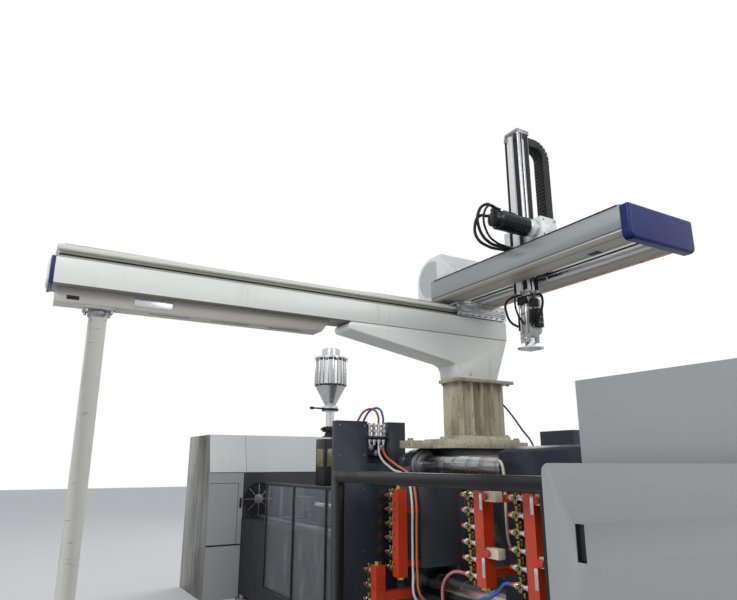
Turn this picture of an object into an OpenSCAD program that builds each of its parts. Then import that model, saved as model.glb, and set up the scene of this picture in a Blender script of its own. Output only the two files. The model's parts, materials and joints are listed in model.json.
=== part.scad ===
// Injection moulding machine with a top-mounted take-out robot.
// +X runs along the machine to the clamp end, -Y is the side that the robot unloads to, +Z is up.

/* [Tie bars and platens] */
// Radius of a tie bar
tie_r = 75; // [60:1:85]
// Distance between tie bar centres, across and in height
tie_pitch = 830; // [800:10:860]
// Height of the machine's centre line over the floor
centre_z = 1205; // [1195:5:1230]
// Distance from a tie bar's centre out to the platen's side
platen_side = 205; // [190:5:215]
// Distance from a tie bar's centre to the platen's upper or lower edge
platen_end = 133; // [126:1:140]
// Thickness of the stationary platen
fixed_t = 330; // [300:5:360]
// Depth of the pockets around the tie bars in the stationary platen's front
pocket_d = 240; // [200:10:260]
// Thickness of the moving platen's front plate
moving_t = 250; // [220:5:280]
// Length of the box behind the moving platen
moving_box = 390; // [370:5:420]
// Wall of the box behind the moving platen
moving_wall = 60; // [50:2:70]
// Open distance between the platens
daylight = 850; // [800:10:900]
// Clamping stroke of the moving platen
clamp_stroke = 600; // [500:10:640]
// Thickness of the cylinder platen
tail_t = 400; // [350:10:450]
// Face of the cylinder platen that looks at the mould
tail_x = 2560; // [2500:10:2650]
// Radius of the round bosses around the tie bars
boss_r = 132; // [120:1:134]
// Running gap around each sliding rod
run_gap = 0.3; // [0.2:0.05:0.5]
// Thickness of a tie bar nut
nut_t = 110; // [90:5:130]
// Width of a tie bar nut across its flats
nut_r = 125; // [110:1:135]

/* [Mould fixing] */
// Radius of the bore for the mould's locating ring
ring_r = 80; // [60:1:90]
// Depth of the bore for the mould's locating ring
ring_depth = 40; // [30:1:60]
// Radius of the nozzle's way through the platen
nozzle_way_r = 62; // [55:1:70]
// Radius of a mould fixing hole
mould_hole_r = 12; // [8:0.5:14]
// Depth of a mould fixing hole
mould_hole_depth = 60; // [40:1:80]
// Distance between mould fixing holes
mould_pitch = 420; // [350:10:480]

/* [Clamp cylinder and ejector] */
// Radius of the clamping ram
ram_r = 170; // [140:2:180]
// Outer radius of the clamping cylinder
cylinder_r = 250; // [240:2:280]
// Length of the clamping cylinder behind its platen
cylinder_len = 1000; // [900:10:1050]
// Thickness of the ejector plate
ejector_t = 60; // [40:2:70]
// Ejector stroke
ejector_stroke = 150; // [100:5:160]
// Radius of an ejector pin
ejector_pin_r = 18; // [12:1:22]
// Distance of the outer ejector pins from the centre line
ejector_pitch = 130; // [100:5:145]
// Distance of the ejector cylinders from the centre line
ejector_cyl_y = 255; // [252:1:262]
// Radius of an ejector cylinder
ejector_cyl_r = 48; // [40:1:55]
// Length of an ejector cylinder
ejector_cyl_len = 320; // [300:5:360]

/* [Beds] */
// Height of the levelling feet
foot_h = 60; // [50:2:80]
// Radius of a levelling foot
foot_r = 90; // [60:2:110]
// Width of each long bed beam
beam_w = 240; // [200:5:260]
// Outer width over the two long clamp bed beams
bed_w = 1300; // [1260:10:1340]
// Outer width over the two long injection bed beams
inj_bed_w = 1000; // [900:10:1100]
// Length of the clamp bed past the cylinder platen
bed_tail = 1140; // [1100:10:1300]
// Length of a cross member along the machine
cross_l = 200; // [160:5:240]
// Height of a cross member
cross_h = 220; // [180:5:260]
// Wall of the injection bed
tank_wall = 60; // [40:2:80]
// Thickness of the moving platen's slide shoes
shoe_t = 30; // [20:1:40]
// Width of a bed slide rail
bed_rail_w = 90; // [70:2:100]
// Height of a bed slide rail
bed_rail_h = 12; // [8:1:15]

/* [Guards] */
// Distance of the guard frame's outer face from the centre line
guard_y = 1130; // [1110:5:1160]
// Depth of the guard frame's tubes
guard_d = 60; // [50:2:70]
// Height of the top guard rail
rail_h = 80; // [60:2:100]
// Top of the guard rail over the floor
rail_top = 1587; // [1560:1:1620]
// Place where the guarded opening ends, towards the clamp
guard_x1 = 1745; // [1720:5:1760]
// Width of a guard post
post_w = 75; // [60:1:90]
// Length of a sliding gate
gate_l = 2145; // [2050:5:2160]
// Thickness of a sliding gate
gate_t = 45; // [35:1:55]
// Top of a sliding gate over the floor
gate_top = 1645; // [1630:1:1680]
// Corner radius of a gate
gate_corner = 40; // [20:1:60]
// Running gap between the gate and the guard frame
gate_gap = 6; // [3:0.5:10]
// Distance of the handle slot from the gate's edge
handle_x = 168; // [150:2:200]
// Lower end of the handle slot over the floor
handle_z = 1250; // [1200:10:1300]
// Width of the handle slot
handle_w = 48; // [40:1:60]
// Height of the handle slot
handle_h = 150; // [120:5:170]
// Height of the gate's window
window_h = 620; // [500:10:700]
// Length of the gate's window
window_l = 520; // [400:10:700]
// Sheet thickness of the covers
sheet_t = 5; // [3:0.5:8]
// Top of the clamp cover over the floor
clamp_cover_top = 2010; // [1980:2:2060]
// Left end of the clamp cover
clamp_cover_x0 = 1880; // [1860:5:1920]

/* [Injection unit] */
// Outer radius of the barrel
barrel_r = 90; // [80:1:100]
// Radius of the screw
screw_r = 35; // [30:0.5:40]
// Front end of the barrel
barrel_x1 = -480; // [-500:5:-450]
// Length of the barrel
barrel_len = 2400; // [2380:10:2420]
// Radius of the nozzle
nozzle_r = 42; // [36:1:50]
// Place of the nozzle's tip when it is forward
nozzle_x = -70; // [-90:1:-55]
// Number of heater bands
band_n = 6; // [4:1:7]
// Length of a heater band
band_l = 200; // [150:5:210]
// Thickness of a heater band
band_t = 12; // [8:1:15]
// Length of the feed throat block
throat_l = 360; // [320:5:400]
// Thickness of the slide plates under the injection unit
slide_t = 25; // [20:1:30]
// Height and width of the feed throat block
throat_h = 360; // [320:5:400]
// Length of the thrust housing
thrust_l = 260; // [240:5:280]
// Nozzle retraction stroke
unit_stroke = 380; // [300:5:400]
// Injection stroke of the screw
inject_stroke = 200; // [150:5:220]
// Radius of the pull bars
pull_r = 28; // [24:1:34]
// Distance between the two pull bars
pull_pitch = 560; // [520:5:600]
// Width of an injection bed rail
inj_rail_w = 60; // [50:1:80]
// Height of an injection bed rail
inj_rail_h = 50; // [40:1:60]
// Distance between the injection rails
inj_rail_pitch = 640; // [600:5:680]

/* [Hopper] */
// Radius of the hopper
hopper_r = 180; // [160:5:200]
// Length of the hopper's cone
cone_h = 230; // [200:5:260]
// Length of the hopper's straight part
hopper_h = 340; // [300:5:380]
// Height of the neck between throat and cone
neck_h = 903; // [860:1:930]
// Side of the neck's sight box
sight_s = 230; // [210:5:250]
// Height of the neck's sight box
sight_h = 520; // [470:5:560]
// Wall of the hopper
hopper_t = 4; // [3:0.5:6]
// Height of the loader can on the lid
loader_h = 105; // [80:5:120]
// Radius of the loader can
loader_r = 110; // [90:5:120]

/* [Power enclosure] */
// Face of the enclosure that looks at the clamp
enclosure_x1 = -4200; // [-4220:5:-4190]
// Length of the enclosure along the machine
enclosure_l = 1100; // [1000:10:1200]
// Width of the enclosure
enclosure_w = 1900; // [1850:10:2000]
// Top of the enclosure over the floor
enclosure_top = 2000; // [1950:5:2050]
// Height of its sloped upper panel
slope_h = 480; // [400:5:500]
// Run of its sloped upper panel
slope_run = 110; // [80:2:140]

/* [Robot stand] */
// Thickness of the riser's thick lower plate
riser_base_t = 70; // [50:1:80]
// Height of the riser between its plates
riser_h = 447; // [400:1:480]
// Width of the riser's body
riser_w = 437; // [400:1:460]
// Depth of the riser's core
riser_d = 200; // [180:2:220]
// Thickness of a riser rib
riser_rib_t = 16; // [12:1:20]
// How far a riser rib stands out
riser_rib_d = 36; // [24:1:40]
// Height of the base casting under the beam
casting_h = 355; // [330:1:380]
// Thickness of the riser's thin plates
riser_plate_t = 25; // [18:1:30]
// Half length of the wide bar under the riser
bar_half = 610; // [600:5:615]
// Distance of the wide bar's bolt holes from the centre line
bar_bolt_y = 560; // [540:5:580]
// Reach of the base casting's arm towards the drop side
cast_reach = 1220; // [1150:10:1300]
// Width of the square support post
post_side = 95; // [80:1:110]
// Place of the support post across the machine
post_y = -2890; // [-2950:5:-2850]
// Side of the floor plate under the post
floor_plate = 320; // [280:5:360]
// Distance between the anchor holes of the floor plate
anchor_pitch = 240; // [200:5:250]
// Radius of an anchor hole
anchor_r = 9; // [7:0.5:11]

/* [Traverse beam] */
// Length of the traverse beam
trav_len = 3480; // [3400:10:3600]
// Rear end of the traverse beam
trav_y1 = 316; // [300:1:330]
// Depth of the traverse beam
trav_d = 240; // [220:2:260]
// Height of the traverse beam's side
trav_h = 160; // [150:1:175]
// Height of the groove along the traverse beam
groove_h = 50; // [40:1:60]
// Depth of the groove along the traverse beam
groove_d = 26; // [18:1:34]
// Height of the beam's upper edge strip
lip_h = 30; // [22:1:34]
// Height of the cable tray under the beam
tray_h = 90; // [80:1:96]
// Length of the cable tray under the beam
tray_l = 1730; // [1600:10:1800]
// Thickness of the saddle's top plate
saddle_t = 25; // [20:1:30]
// Width of a linear rail on the robot
lin_w = 23; // [20:1:30]
// Height of a linear rail on the robot
lin_h = 20; // [16:1:24]
// Thickness of the beam's dark end plate
end_plate_t = 23; // [18:1:30]
// Traverse stroke
trav_stroke = 2350; // [2200:10:2400]

/* [Cross frame] */
// Length of the cross frame
kick_len = 1860; // [1800:10:1900]
// How far the cross frame reaches behind the beam's face
kick_back = 140; // [120:2:160]
// Width of the cross frame
kick_w = 600; // [580:2:620]
// Height of the cross frame
kick_h = 171; // [160:1:180]
// Side of the cross frame that looks at the drop side
kick_y0 = -370; // [-380:2:-360]
// Width of the near profile of the cross frame
kick_near_w = 220; // [210:2:226]
// Width of the slot between the profiles
slot_w = 184; // [176:2:190]
// Wall of the cross frame's profiles
profile_t = 12; // [8:1:16]
// Thickness of the frame's blue end cap
cap_t = 60; // [50:1:70]
// How far the end cap hangs under the frame
cap_drop = 52; // [40:1:60]
// Cross stroke towards the clamp end
kick_out = 850; // [800:10:880]
// Cross stroke towards the injection end
kick_in = 240; // [200:10:250]

/* [Vertical arm] */
// Place of the arm along the machine
arm_x = 635; // [625:1:645]
// Place of the arm across the machine
arm_y = -58; // [-62:1:-54]
// Depth of the arm along the machine
arm_dx = 140; // [130:1:144]
// Width of the arm
arm_dy = 116; // [110:1:120]
// Length of the arm
arm_len = 1350; // [1320:5:1380]
// Least distance of the arm's lower end under the cross frame
arm_below = 85; // [80:1:110]
// Top of the arm over the floor
arm_top = 4200; // [4180:5:4220]
// Vertical stroke of the arm
arm_stroke = 880; // [800:10:890]
// Radius of the arm's motor
motor_r = 70; // [60:1:76]
// Length of the arm's motor
motor_l = 270; // [250:2:290]
// Height of the motor's axis over the cross frame
motor_up = 210; // [200:1:220]
// Side of the arm's gearbox
gearbox_s = 160; // [150:1:166]
// Width of the cable chain
chain_w = 100; // [80:1:110]
// Thickness of the cable chain
chain_t = 75; // [60:1:80]
// Bend radius of the cable chain at its middle
chain_r = 110; // [90:1:120]
// Height of the cable chain's level stub over the floor
chain_top = 4130; // [4110:1:4145]
// Side of the square gripper plate
chuck_s = 130; // [120:2:150]
// Thickness of the gripper plate
chuck_t = 18; // [14:1:24]
// Distance between the gripper plate's holes
chuck_pitch = 80; // [70:2:90]
// Radius of a hole in the gripper plate
chuck_hole_r = 5.5; // [4:0.5:6.5]
// Length of the wrist between arm and hinge
wrist_l = 330; // [310:2:345]

/* [Water manifolds] */
// Side of a manifold column
mani_s = 75; // [60:1:86]
// Distance between the outlets of a moving manifold
mani_pitch = 85; // [80:1:90]
// Distance between the outlets of a fixed manifold
fixed_pitch = 97; // [85:1:100]
// Number of outlets of a tall manifold
mani_n = 6; // [4:1:6]
// Radius of a manifold nipple
nipple_r = 11; // [9:0.5:14]
// Length of a manifold nipple
nipple_l = 150; // [120:2:160]
// Radius of a valve's knob at the end of an outlet
valve_r = 42; // [34:1:46]
// Length of a valve's knob
valve_l = 40; // [30:1:50]
// Radius of a hose
hose_r = 9; // [8:0.5:10]

/* [Control panel] */
// Width of the control panel
panel_w = 420; // [380:5:460]
// Height of the control panel
panel_h = 560; // [500:5:600]
// Depth of the control panel
panel_d = 110; // [90:2:130]
// Distance from the swivel tube to the panel's back
panel_reach = 150; // [120:5:170]
// Radius of the panel's swivel tube
swivel_r = 30; // [25:1:36]

/* [Hidden] */

$fn = 64;

platen_w = tie_pitch + 2 * platen_side;
platen_h = tie_pitch + 2 * platen_end;
bed_top = centre_z - platen_h / 2 - bed_rail_h;
platen_z0 = centre_z - platen_h / 2;
platen_z1 = centre_z + platen_h / 2;
tie_x0 = -fixed_t - nut_t;
tie_x1 = tail_x + tail_t + nut_t;
guard_x0 = guard_x1 - gate_l;
bed_nose = 240;
bed_x0 = min(tie_x0 - 200, guard_x0 - bed_nose);
inj_top = centre_z - throat_h / 2 - slide_t - inj_rail_h;
bed_x1 = tail_x + tail_t + bed_tail;
moving_x1 = daylight + moving_t + moving_box;
machine_x0 = enclosure_x1 - enclosure_l;
end_cover_x = bed_x1 + 50;

riser_z0 = platen_z1 + riser_base_t;
casting_z0 = riser_z0 + riser_h + riser_plate_t;
beam_z0 = casting_z0 + casting_h;
beam_z1 = beam_z0 + trav_h;
groove_z1 = beam_z1 + groove_h;
lip_z1 = groove_z1 + lip_h;
saddle_z = lip_z1 + lin_h + run_gap;
kick_z0 = saddle_z + saddle_t;
kick_z1 = kick_z0 + kick_h;
kick_y1 = kick_y0 + kick_w;
slot_y0 = kick_y0 + kick_near_w;
slot_y1 = slot_y0 + slot_w;
kick_x0 = -kick_back;
kick_x1 = kick_x0 + kick_len;
trav_y0 = trav_y1 - trav_len;
arm_z0 = min(arm_top - arm_len, kick_z0 - arm_below);
hinge_z = arm_z0 - wrist_l;
operator_y = guard_y - guard_d / 2 + panel_reach + panel_d;
bulge = 12;
drop_y = trav_y0 - end_plate_t - bulge;
mid_x = (machine_x0 + end_cover_x) / 2;
mid_y = (operator_y + drop_y) / 2;

// A block between two corners.
module block(x, y, z) {
  translate([x[0], y[0], z[0]]) cube([x[1] - x[0], y[1] - y[0], z[1] - z[0]]);
}

// Round rods along each axis, between two places on that axis.
module rod_x(x, y, z, r) {
  translate([x[0], y, z]) rotate([0, 90, 0]) cylinder(h = x[1] - x[0], r = r);
}

module rod_y(x, y, z, r) {
  translate([x, y[0], z]) rotate([-90, 0, 0]) cylinder(h = y[1] - y[0], r = r);
}

module rod_z(x, y, z, r) {
  translate([x, y, z[0]]) cylinder(h = z[1] - z[0], r = r);
}

// A hexagonal prism along X.
module hex_x(x, y, z, r) {
  translate([x[0], y, z]) rotate([0, 90, 0]) cylinder(h = x[1] - x[0], r = r, $fn = 6);
}

// Copies at the four tie bars.
module at_ties() {
  for (sy = [-1, 1], sz = [-1, 1])
    translate([0, sy * tie_pitch / 2, centre_z + sz * tie_pitch / 2]) children();
}

// Mirrors a piece to both sides of the centre line.
module both_sides() {
  children();
  mirror([0, 1, 0]) children();
}

// Puts the whole machine's floor centre at the origin.
module placed() {
  translate([-mid_x, -mid_y, 0]) children();
}

// A tube along chosen points: one ring of eight corners at each point, square to the path.
function unit(v) = v / norm(v);
function dir_at(p, i) = unit(p[min(i + 1, len(p) - 1)] - p[max(i - 1, 0)]);
function side_of(d) = unit(abs(d[1]) > 0.9 ? cross(d, [1, 0, 0]) : cross(d, [0, 1, 0]));
function ring_pt(p, d, r, a) = p + r * (cos(a) * side_of(d) + sin(a) * cross(d, side_of(d)));

module hose(points, r, sides = 8) {
  n = len(points);
  rings = [for (i = [0:n - 1], k = [0:sides - 1])
    ring_pt(points[i], dir_at(points, i), r, 360 * k / sides)];
  walls = [for (i = [0:n - 2], k = [0:sides - 1])
    [i * sides + k, i * sides + (k + 1) % sides, (i + 1) * sides + (k + 1) % sides,
     (i + 1) * sides + k]];
  ends = [[for (k = [sides - 1:-1:0]) k], [for (k = [0:sides - 1]) (n - 1) * sides + k]];
  polyhedron(points = rings, faces = [for (f = concat(walls, ends)) [for (q = [len(f) - 1:-1:0]) f[q]]]);
}

// A smooth path through chosen corners, with steps points between each two.
function mid(a, b) = (a + b) / 2;
function bend(a, b, c, t) = (1 - t) * (1 - t) * a + 2 * t * (1 - t) * b + t * t * c;
function smooth(p, steps = 4) = concat(
  [p[0]],
  [for (i = [1:len(p) - 2], k = [0:steps])
    bend(mid(p[i - 1], p[i]), p[i], mid(p[i], p[i + 1]), k / steps)],
  [p[len(p) - 1]]);

// Places along the clamp bed where a cross member joins its two beams.
cross_x = [bed_x0, daylight + moving_t, tail_x, bed_x1 - cross_l];
core_y = tie_pitch / 2 - boss_r;
cross_z0 = foot_h + 60;
sill_y0 = guard_y - guard_d;

// Two long box beams joined by four cross members that reach out to the guard sills.
module clamp_bed() color("gainsboro") {
  both_sides() block([bed_x0, bed_x1], [bed_w / 2 - beam_w, bed_w / 2], [foot_h, bed_top]);
  for (x = cross_x)
    block([x, x + cross_l], [-sill_y0, sill_y0], [cross_z0, cross_z0 + cross_h]);
}

// Oil tank and bed in one, open underneath, with two posts for the purge guard's hinge.
module injection_bed() color("gainsboro") {
  difference() {
    block([enclosure_x1, bed_x0], [-inj_bed_w / 2, inj_bed_w / 2], [foot_h, inj_top]);
    block([enclosure_x1 + tank_wall, bed_x0 - tank_wall],
      [-inj_bed_w / 2 + tank_wall, inj_bed_w / 2 - tank_wall],
      [foot_h - 1, inj_top - tank_wall]);
  }
  purge_post();
}

module foot_at(x, y) {
  rod_z(x, y, [0, foot_h / 3], foot_r);
  rod_z(x, y, [foot_h / 3, foot_h], foot_r * 0.45);
}

module levelling_feet() color("dimgray") both_sides() {
  for (x = cross_x) foot_at(x + cross_l / 2, (bed_w - beam_w) / 2);
  for (x = [enclosure_x1 + foot_r, (enclosure_x1 + bed_x0) / 2, bed_x0 - foot_r - tank_wall])
    foot_at(x, (inj_bed_w - tank_wall) / 2);
}

module guard_sills() color("dimgray") both_sides()
  block([bed_x0, bed_x1], [sill_y0, guard_y], [cross_z0, cross_z0 + cross_h]);

module slide_rails() color("silver") both_sides() {
  block([enclosure_x1 + 20, bed_x0 - 80],
    [(inj_rail_pitch - inj_rail_w) / 2, (inj_rail_pitch + inj_rail_w) / 2],
    [inj_top, inj_top + inj_rail_h]);
  block([daylight - clamp_stroke - 40, moving_x1 + 40],
    [(bed_w - beam_w - bed_rail_w) / 2, (bed_w - beam_w + bed_rail_w) / 2],
    [bed_top, platen_z0]);
}

// Rectangle of four holes along X, around the machine's centre line.
module hole_grid(x, pitch, r) {
  for (sy = [-1, 1], sz = [-1, 1]) rod_x(x, sy * pitch / 2, centre_z + sz * pitch / 2, r);
}

// A platen with round bosses at its corners and a running bore for each tie bar.
module platen_shape(x) {
  inner = tie_pitch / 2;
  difference() {
    union() {
      block(x, [-platen_w / 2, platen_w / 2], [centre_z - inner, centre_z + inner]);
      block(x, [-inner, inner], [platen_z0, platen_z1]);
      at_ties() rod_x(x, 0, 0, boss_r);
      both_sides() block(x, [inner - 5, platen_w / 2 - 1], [bed_top, centre_z - inner]);
    }
    at_ties() rod_x([x[0] - 1, x[1] + 1], 0, 0, tie_r + run_gap);
  }
}

module stationary_platen() color("slategray") difference() {
  union() {
    platen_shape([-fixed_t, -pocket_d]);
    block([-fixed_t, 0], [-core_y, core_y], [platen_z0, platen_z1]);
    block([-fixed_t, 0], [-platen_w / 2, platen_w / 2], [centre_z - core_y, centre_z + core_y]);
    both_sides() block([-fixed_t, 0], [core_y - 1, platen_w / 2 - 1], [bed_top, centre_z - tie_pitch / 2 - boss_r / 2]);
  }
  at_ties() rod_x([-fixed_t - 1, 1], 0, 0, tie_r + run_gap);
  rod_x([-ring_depth, 1], 0, centre_z, ring_r);
  rod_x([-fixed_t - 1, 0], 0, centre_z, nozzle_way_r);
  hole_grid([-mould_hole_depth, 1], mould_pitch, mould_hole_r);
}

module cylinder_platen() color("slategray") difference() {
  platen_shape([tail_x, tail_x + tail_t]);
  rod_x([tail_x - 1, tail_x + tail_t + 1], 0, centre_z, ram_r + run_gap);
}

module tie_bars() color("silver") at_ties() rod_x([tie_x0 - 30, tie_x1 + 30], 0, 0, tie_r);

module tie_bar_nuts() color("dimgray") at_ties() for (x = [tie_x0, tail_x + tail_t])
  difference() {
    hex_x([x, x + nut_t], 0, 0, nut_r);
    rod_x([x - 1, x + nut_t + 1], 0, 0, tie_r + run_gap);
  }

cylinder_x1 = tail_x + tail_t + cylinder_len;

module clamp_cylinder() color("slategray") difference() {
  union() {
    rod_x([tail_x + tail_t, cylinder_x1], 0, centre_z, cylinder_r);
    rod_x([cylinder_x1 - 90, cylinder_x1], 0, centre_z, cylinder_r + 30);
  }
  rod_x([tail_x + tail_t - 1, cylinder_x1 - 60], 0, centre_z, ram_r + run_gap);
}

moving_z0 = platen_z0 + shoe_t;
moving_z1 = platen_z1 - 43;
moving_x0 = daylight;
box_x0 = moving_x0 + moving_t;
ejector_x1 = moving_x1 - moving_wall - 10;

// Front plate with a hollow box behind it, which leaves a solid column around each tie bar.
module moving_platen() color("#2a2f3d") difference() {
  block([moving_x0, moving_x1], [-platen_w / 2, platen_w / 2], [moving_z0, moving_z1]);
  block([box_x0, moving_x1 - moving_wall], [-core_y, core_y],
    [moving_z0 + moving_wall, moving_z1 - moving_wall]);
  block([box_x0, moving_x1 - moving_wall], [-platen_w / 2 + moving_wall, platen_w / 2 - moving_wall],
    [centre_z - core_y, centre_z + core_y]);
  at_ties() rod_x([moving_x0 - 1, moving_x1 + 1], 0, 0, tie_r + run_gap);
  hole_grid([moving_x0 - 1, moving_x0 + mould_hole_depth], mould_pitch, mould_hole_r);
  hole_grid([moving_x0 - 1, box_x0 + 1], 2 * ejector_pitch, ejector_pin_r + run_gap);
  rod_x([moving_x0 - 1, box_x0 + 1], 0, centre_z, ejector_pin_r + run_gap);
  both_sides() rod_x([moving_x1 - moving_wall - 1, moving_x1 + 1], ejector_cyl_y, centre_z,
    ejector_cyl_r / 2 + run_gap);
}

module platen_shoes() color("goldenrod") both_sides()
  block([moving_x0 + 10, moving_x1 - 10],
    [(bed_w - beam_w - bed_rail_w) / 2, (bed_w - beam_w + bed_rail_w) / 2],
    [platen_z0 + run_gap, moving_z0]);

// Sheet that slopes down over the moving platen's near edge.
module platen_top_cover() color("lightgray")
  translate([moving_x0, 0, moving_z1]) rotate([90, 0, 90]) linear_extrude(height = moving_t + moving_box)
    polygon([[-platen_w / 2, 0], [platen_w / 2, 0], [platen_w / 2 - 110, 34], [-platen_w / 2 + 110, 34]]);

module clamp_ram() color("silver") {
  rod_x([moving_x1, moving_x1 + 50], 0, centre_z, ram_r + 25);
  rod_x([moving_x1 + 50, cylinder_x1 - 160], 0, centre_z, ram_r);
}

module ejector_cylinders() color("dimgray") both_sides() difference() {
  rod_x([moving_x1, moving_x1 + ejector_cyl_len], ejector_cyl_y, centre_z, ejector_cyl_r);
  rod_x([moving_x1 - 1, moving_x1 + ejector_cyl_len - 20], ejector_cyl_y, centre_z,
    ejector_cyl_r / 2 + run_gap);
}

// Plate with five pins through the platen's front and two rods back into its cylinders.
module ejector_plate() color("silver") {
  block([ejector_x1 - ejector_t, ejector_x1], [-ejector_cyl_y - 45, ejector_cyl_y + 45],
    [centre_z - ejector_pitch - 30, centre_z + ejector_pitch + 30]);
  pins = [moving_x0 + 3, ejector_x1 - ejector_t];
  rod_x(pins, 0, centre_z, ejector_pin_r);
  hole_grid(pins, 2 * ejector_pitch, ejector_pin_r);
  both_sides() rod_x([ejector_x1, moving_x1 + ejector_cyl_len - 30], ejector_cyl_y, centre_z,
    ejector_cyl_r / 2);
}

rail_x1 = guard_x1 + gate_l + 40;
post_x = [guard_x0, guard_x1 - post_w, rail_x1 - post_w];

// Top rail on three posts, standing on the sill.
module guard_frame() {
  block([guard_x0, rail_x1], [sill_y0, guard_y], [rail_top - rail_h, rail_top]);
  for (x = post_x)
    block([x, x + post_w], [sill_y0, guard_y], [cross_z0 + cross_h, rail_top - rail_h]);
}

module rear_guard_frame() color("#16181b") mirror([0, 1, 0]) guard_frame();
module operator_guard_frame() color("#16181b") guard_frame();

gate_y0 = guard_y + gate_gap;
gate_y1 = gate_y0 + gate_t;
gate_z0 = cross_z0 + 120;

// Rounded plate in the X-Z plane, standing on its lower edge.
module gate_outline(l, z0, z1, r) {
  union() {
    translate([0, z0]) square([l, z1 - z0 - r]);
    translate([r, z0]) square([l - 2 * r, z1 - z0]);
    for (x = [r, l - r]) translate([x, z1 - r]) circle(r = r);
  }
}

// A tray-shaped door that hangs over the top rail, with a handle slot and a window.
module gate_shape(x, window) {
  translate([x, gate_y1, 0]) rotate([90, 0, 0]) difference() {
    linear_extrude(height = gate_t) gate_outline(gate_l, gate_z0, gate_top, gate_corner);
    translate([0, 0, sheet_t]) linear_extrude(height = gate_t)
      gate_outline_inner();
    translate([handle_x, handle_z, -1]) cube([handle_w, handle_h, gate_t + 2]);
    if (window)
      translate([gate_l / 2 - window_l / 2, centre_z - window_h / 2 + 60, -1])
        cube([window_l, window_h, gate_t + 2]);
  }
  for (k = [0.12, 0.88])
    block([x + k * gate_l - 60, x + k * gate_l + 60], [guard_y - guard_d / 2, gate_y0 + sheet_t],
      [rail_top + run_gap, rail_top + 22]);
}

module gate_outline_inner() {
  edge = 30;
  translate([edge, gate_z0 + edge]) square([gate_l - 2 * edge, rail_top - gate_z0 - 2 * edge]);
}

module rear_gate() color("lightgray") mirror([0, 1, 0]) gate_shape(guard_x1, false);
module operator_gate() color("lightgray") gate_shape(guard_x1 - gate_l, true);

// Hood of folded sheet over the clamp, open underneath and towards the mould.
module clamp_cover() color("lightgray") {
  half = sill_y0 - 4;
  difference() {
    block([clamp_cover_x0, end_cover_x], [-half, half], [cross_z0 + cross_h, clamp_cover_top]);
    block([clamp_cover_x0 - 1, end_cover_x - sheet_t], [-half + sheet_t, half - sheet_t],
      [cross_z0 + cross_h - 1, clamp_cover_top - sheet_t]);
  }
}

cab_x1 = tie_x0 - 32;
cab_t = 80;
cab_top = 1965;
cab_y1 = -inj_bed_w / 2 + 70;
cab_back = 10;
notch_y = [-790, -593];
notch_z = 1640;
shelf_z = 1850;

// Upright dark casing with a notch in its top edge and a shelf of quick couplings across it.
module coupling_cabinet() color("#33363f") {
  difference() {
    block([cab_x1 - cab_t, cab_x1], [-guard_y + guard_d + 4, cab_y1], [bed_top, cab_top]);
    block([cab_x1 - cab_t + cab_back, cab_x1 + 1], notch_y, [notch_z, shelf_z]);
    block([cab_x1 - cab_t - 1, cab_x1 + 1], notch_y, [shelf_z, cab_top + 1]);
  }
  block([cab_x1 - cab_t, cab_x1], notch_y, [shelf_z - 10, shelf_z]);
  for (k = [0:3])
    rod_z(cab_x1 - 28, notch_y[0] + 32 + 44 * k, [shelf_z - 46, shelf_z + 95], 14);
}

// A square column with outlets down one side; each outlet has a nipple and a collar.
module manifold(x, y, z0, n, pitch) {
  x0 = x - mani_s / 2;
  block([x0, x + mani_s / 2], [y - mani_s / 2, y + mani_s / 2], [z0, z0 + n * pitch]);
  for (k = [0:n - 1]) {
    z = z0 + (k + 0.5) * pitch;
    rod_x([x0 - nipple_l, x0], y, z, nipple_r);
    rod_x([x0 - 18, x0], y, z, nipple_r * 1.6);
  }
}

mani_strap = 380;
return_x = [110, 530];
fixed_mani = [-20, -platen_w / 2 - 170, centre_z - 325];
low_mani = [-130, -platen_w / 2 - 285, centre_z - 545];
moving_mani_y = -platen_w / 2 - 320;
moving_mani = [moving_x0 + 210, moving_x1 - 45];
mani_z0 = centre_z - 205;

// Height of the low column's bracket over its foot, and half its side.
low_bracket = [60, 30];

module fixed_manifolds() color("orangered") {
  manifold(fixed_mani[0], fixed_mani[1], fixed_mani[2], mani_n, fixed_pitch);
  knob_x = fixed_mani[0] - mani_s / 2 - nipple_l;
  for (k = [0:mani_n - 1])
    rod_x([knob_x - valve_l, knob_x], fixed_mani[1], fixed_mani[2] + (k + 0.5) * fixed_pitch, valve_r);
  manifold(low_mani[0], low_mani[1], low_mani[2], 3, fixed_pitch);
  for (z = [fixed_mani[2] + 60, fixed_mani[2] + 420])
    block([-50, -20], [fixed_mani[1] + mani_s / 2, -platen_w / 2], [z, z + 40]);
  z = low_mani[2] + low_bracket[0];
  block([low_mani[0] - low_bracket[1], low_mani[0] + low_bracket[1]],
    [low_mani[1] + mani_s / 2, -platen_w / 2 + 1], [z, z + 2 * low_bracket[1]]);
}

module moving_manifolds() color("orangered") {
  for (x = moving_mani) {
    manifold(x, moving_mani_y, mani_z0, mani_n, mani_pitch);
    for (z = [mani_z0 + 50, mani_z0 + 50 + mani_strap])
      block([x - 20, x + 30], [moving_mani_y + mani_s / 2, -platen_w / 2], [z, z + 40]);
  }
  block([moving_x0 + return_x[0], moving_x0 + return_x[1]], [moving_mani_y - 20, -platen_w / 2], return_z);
}

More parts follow.
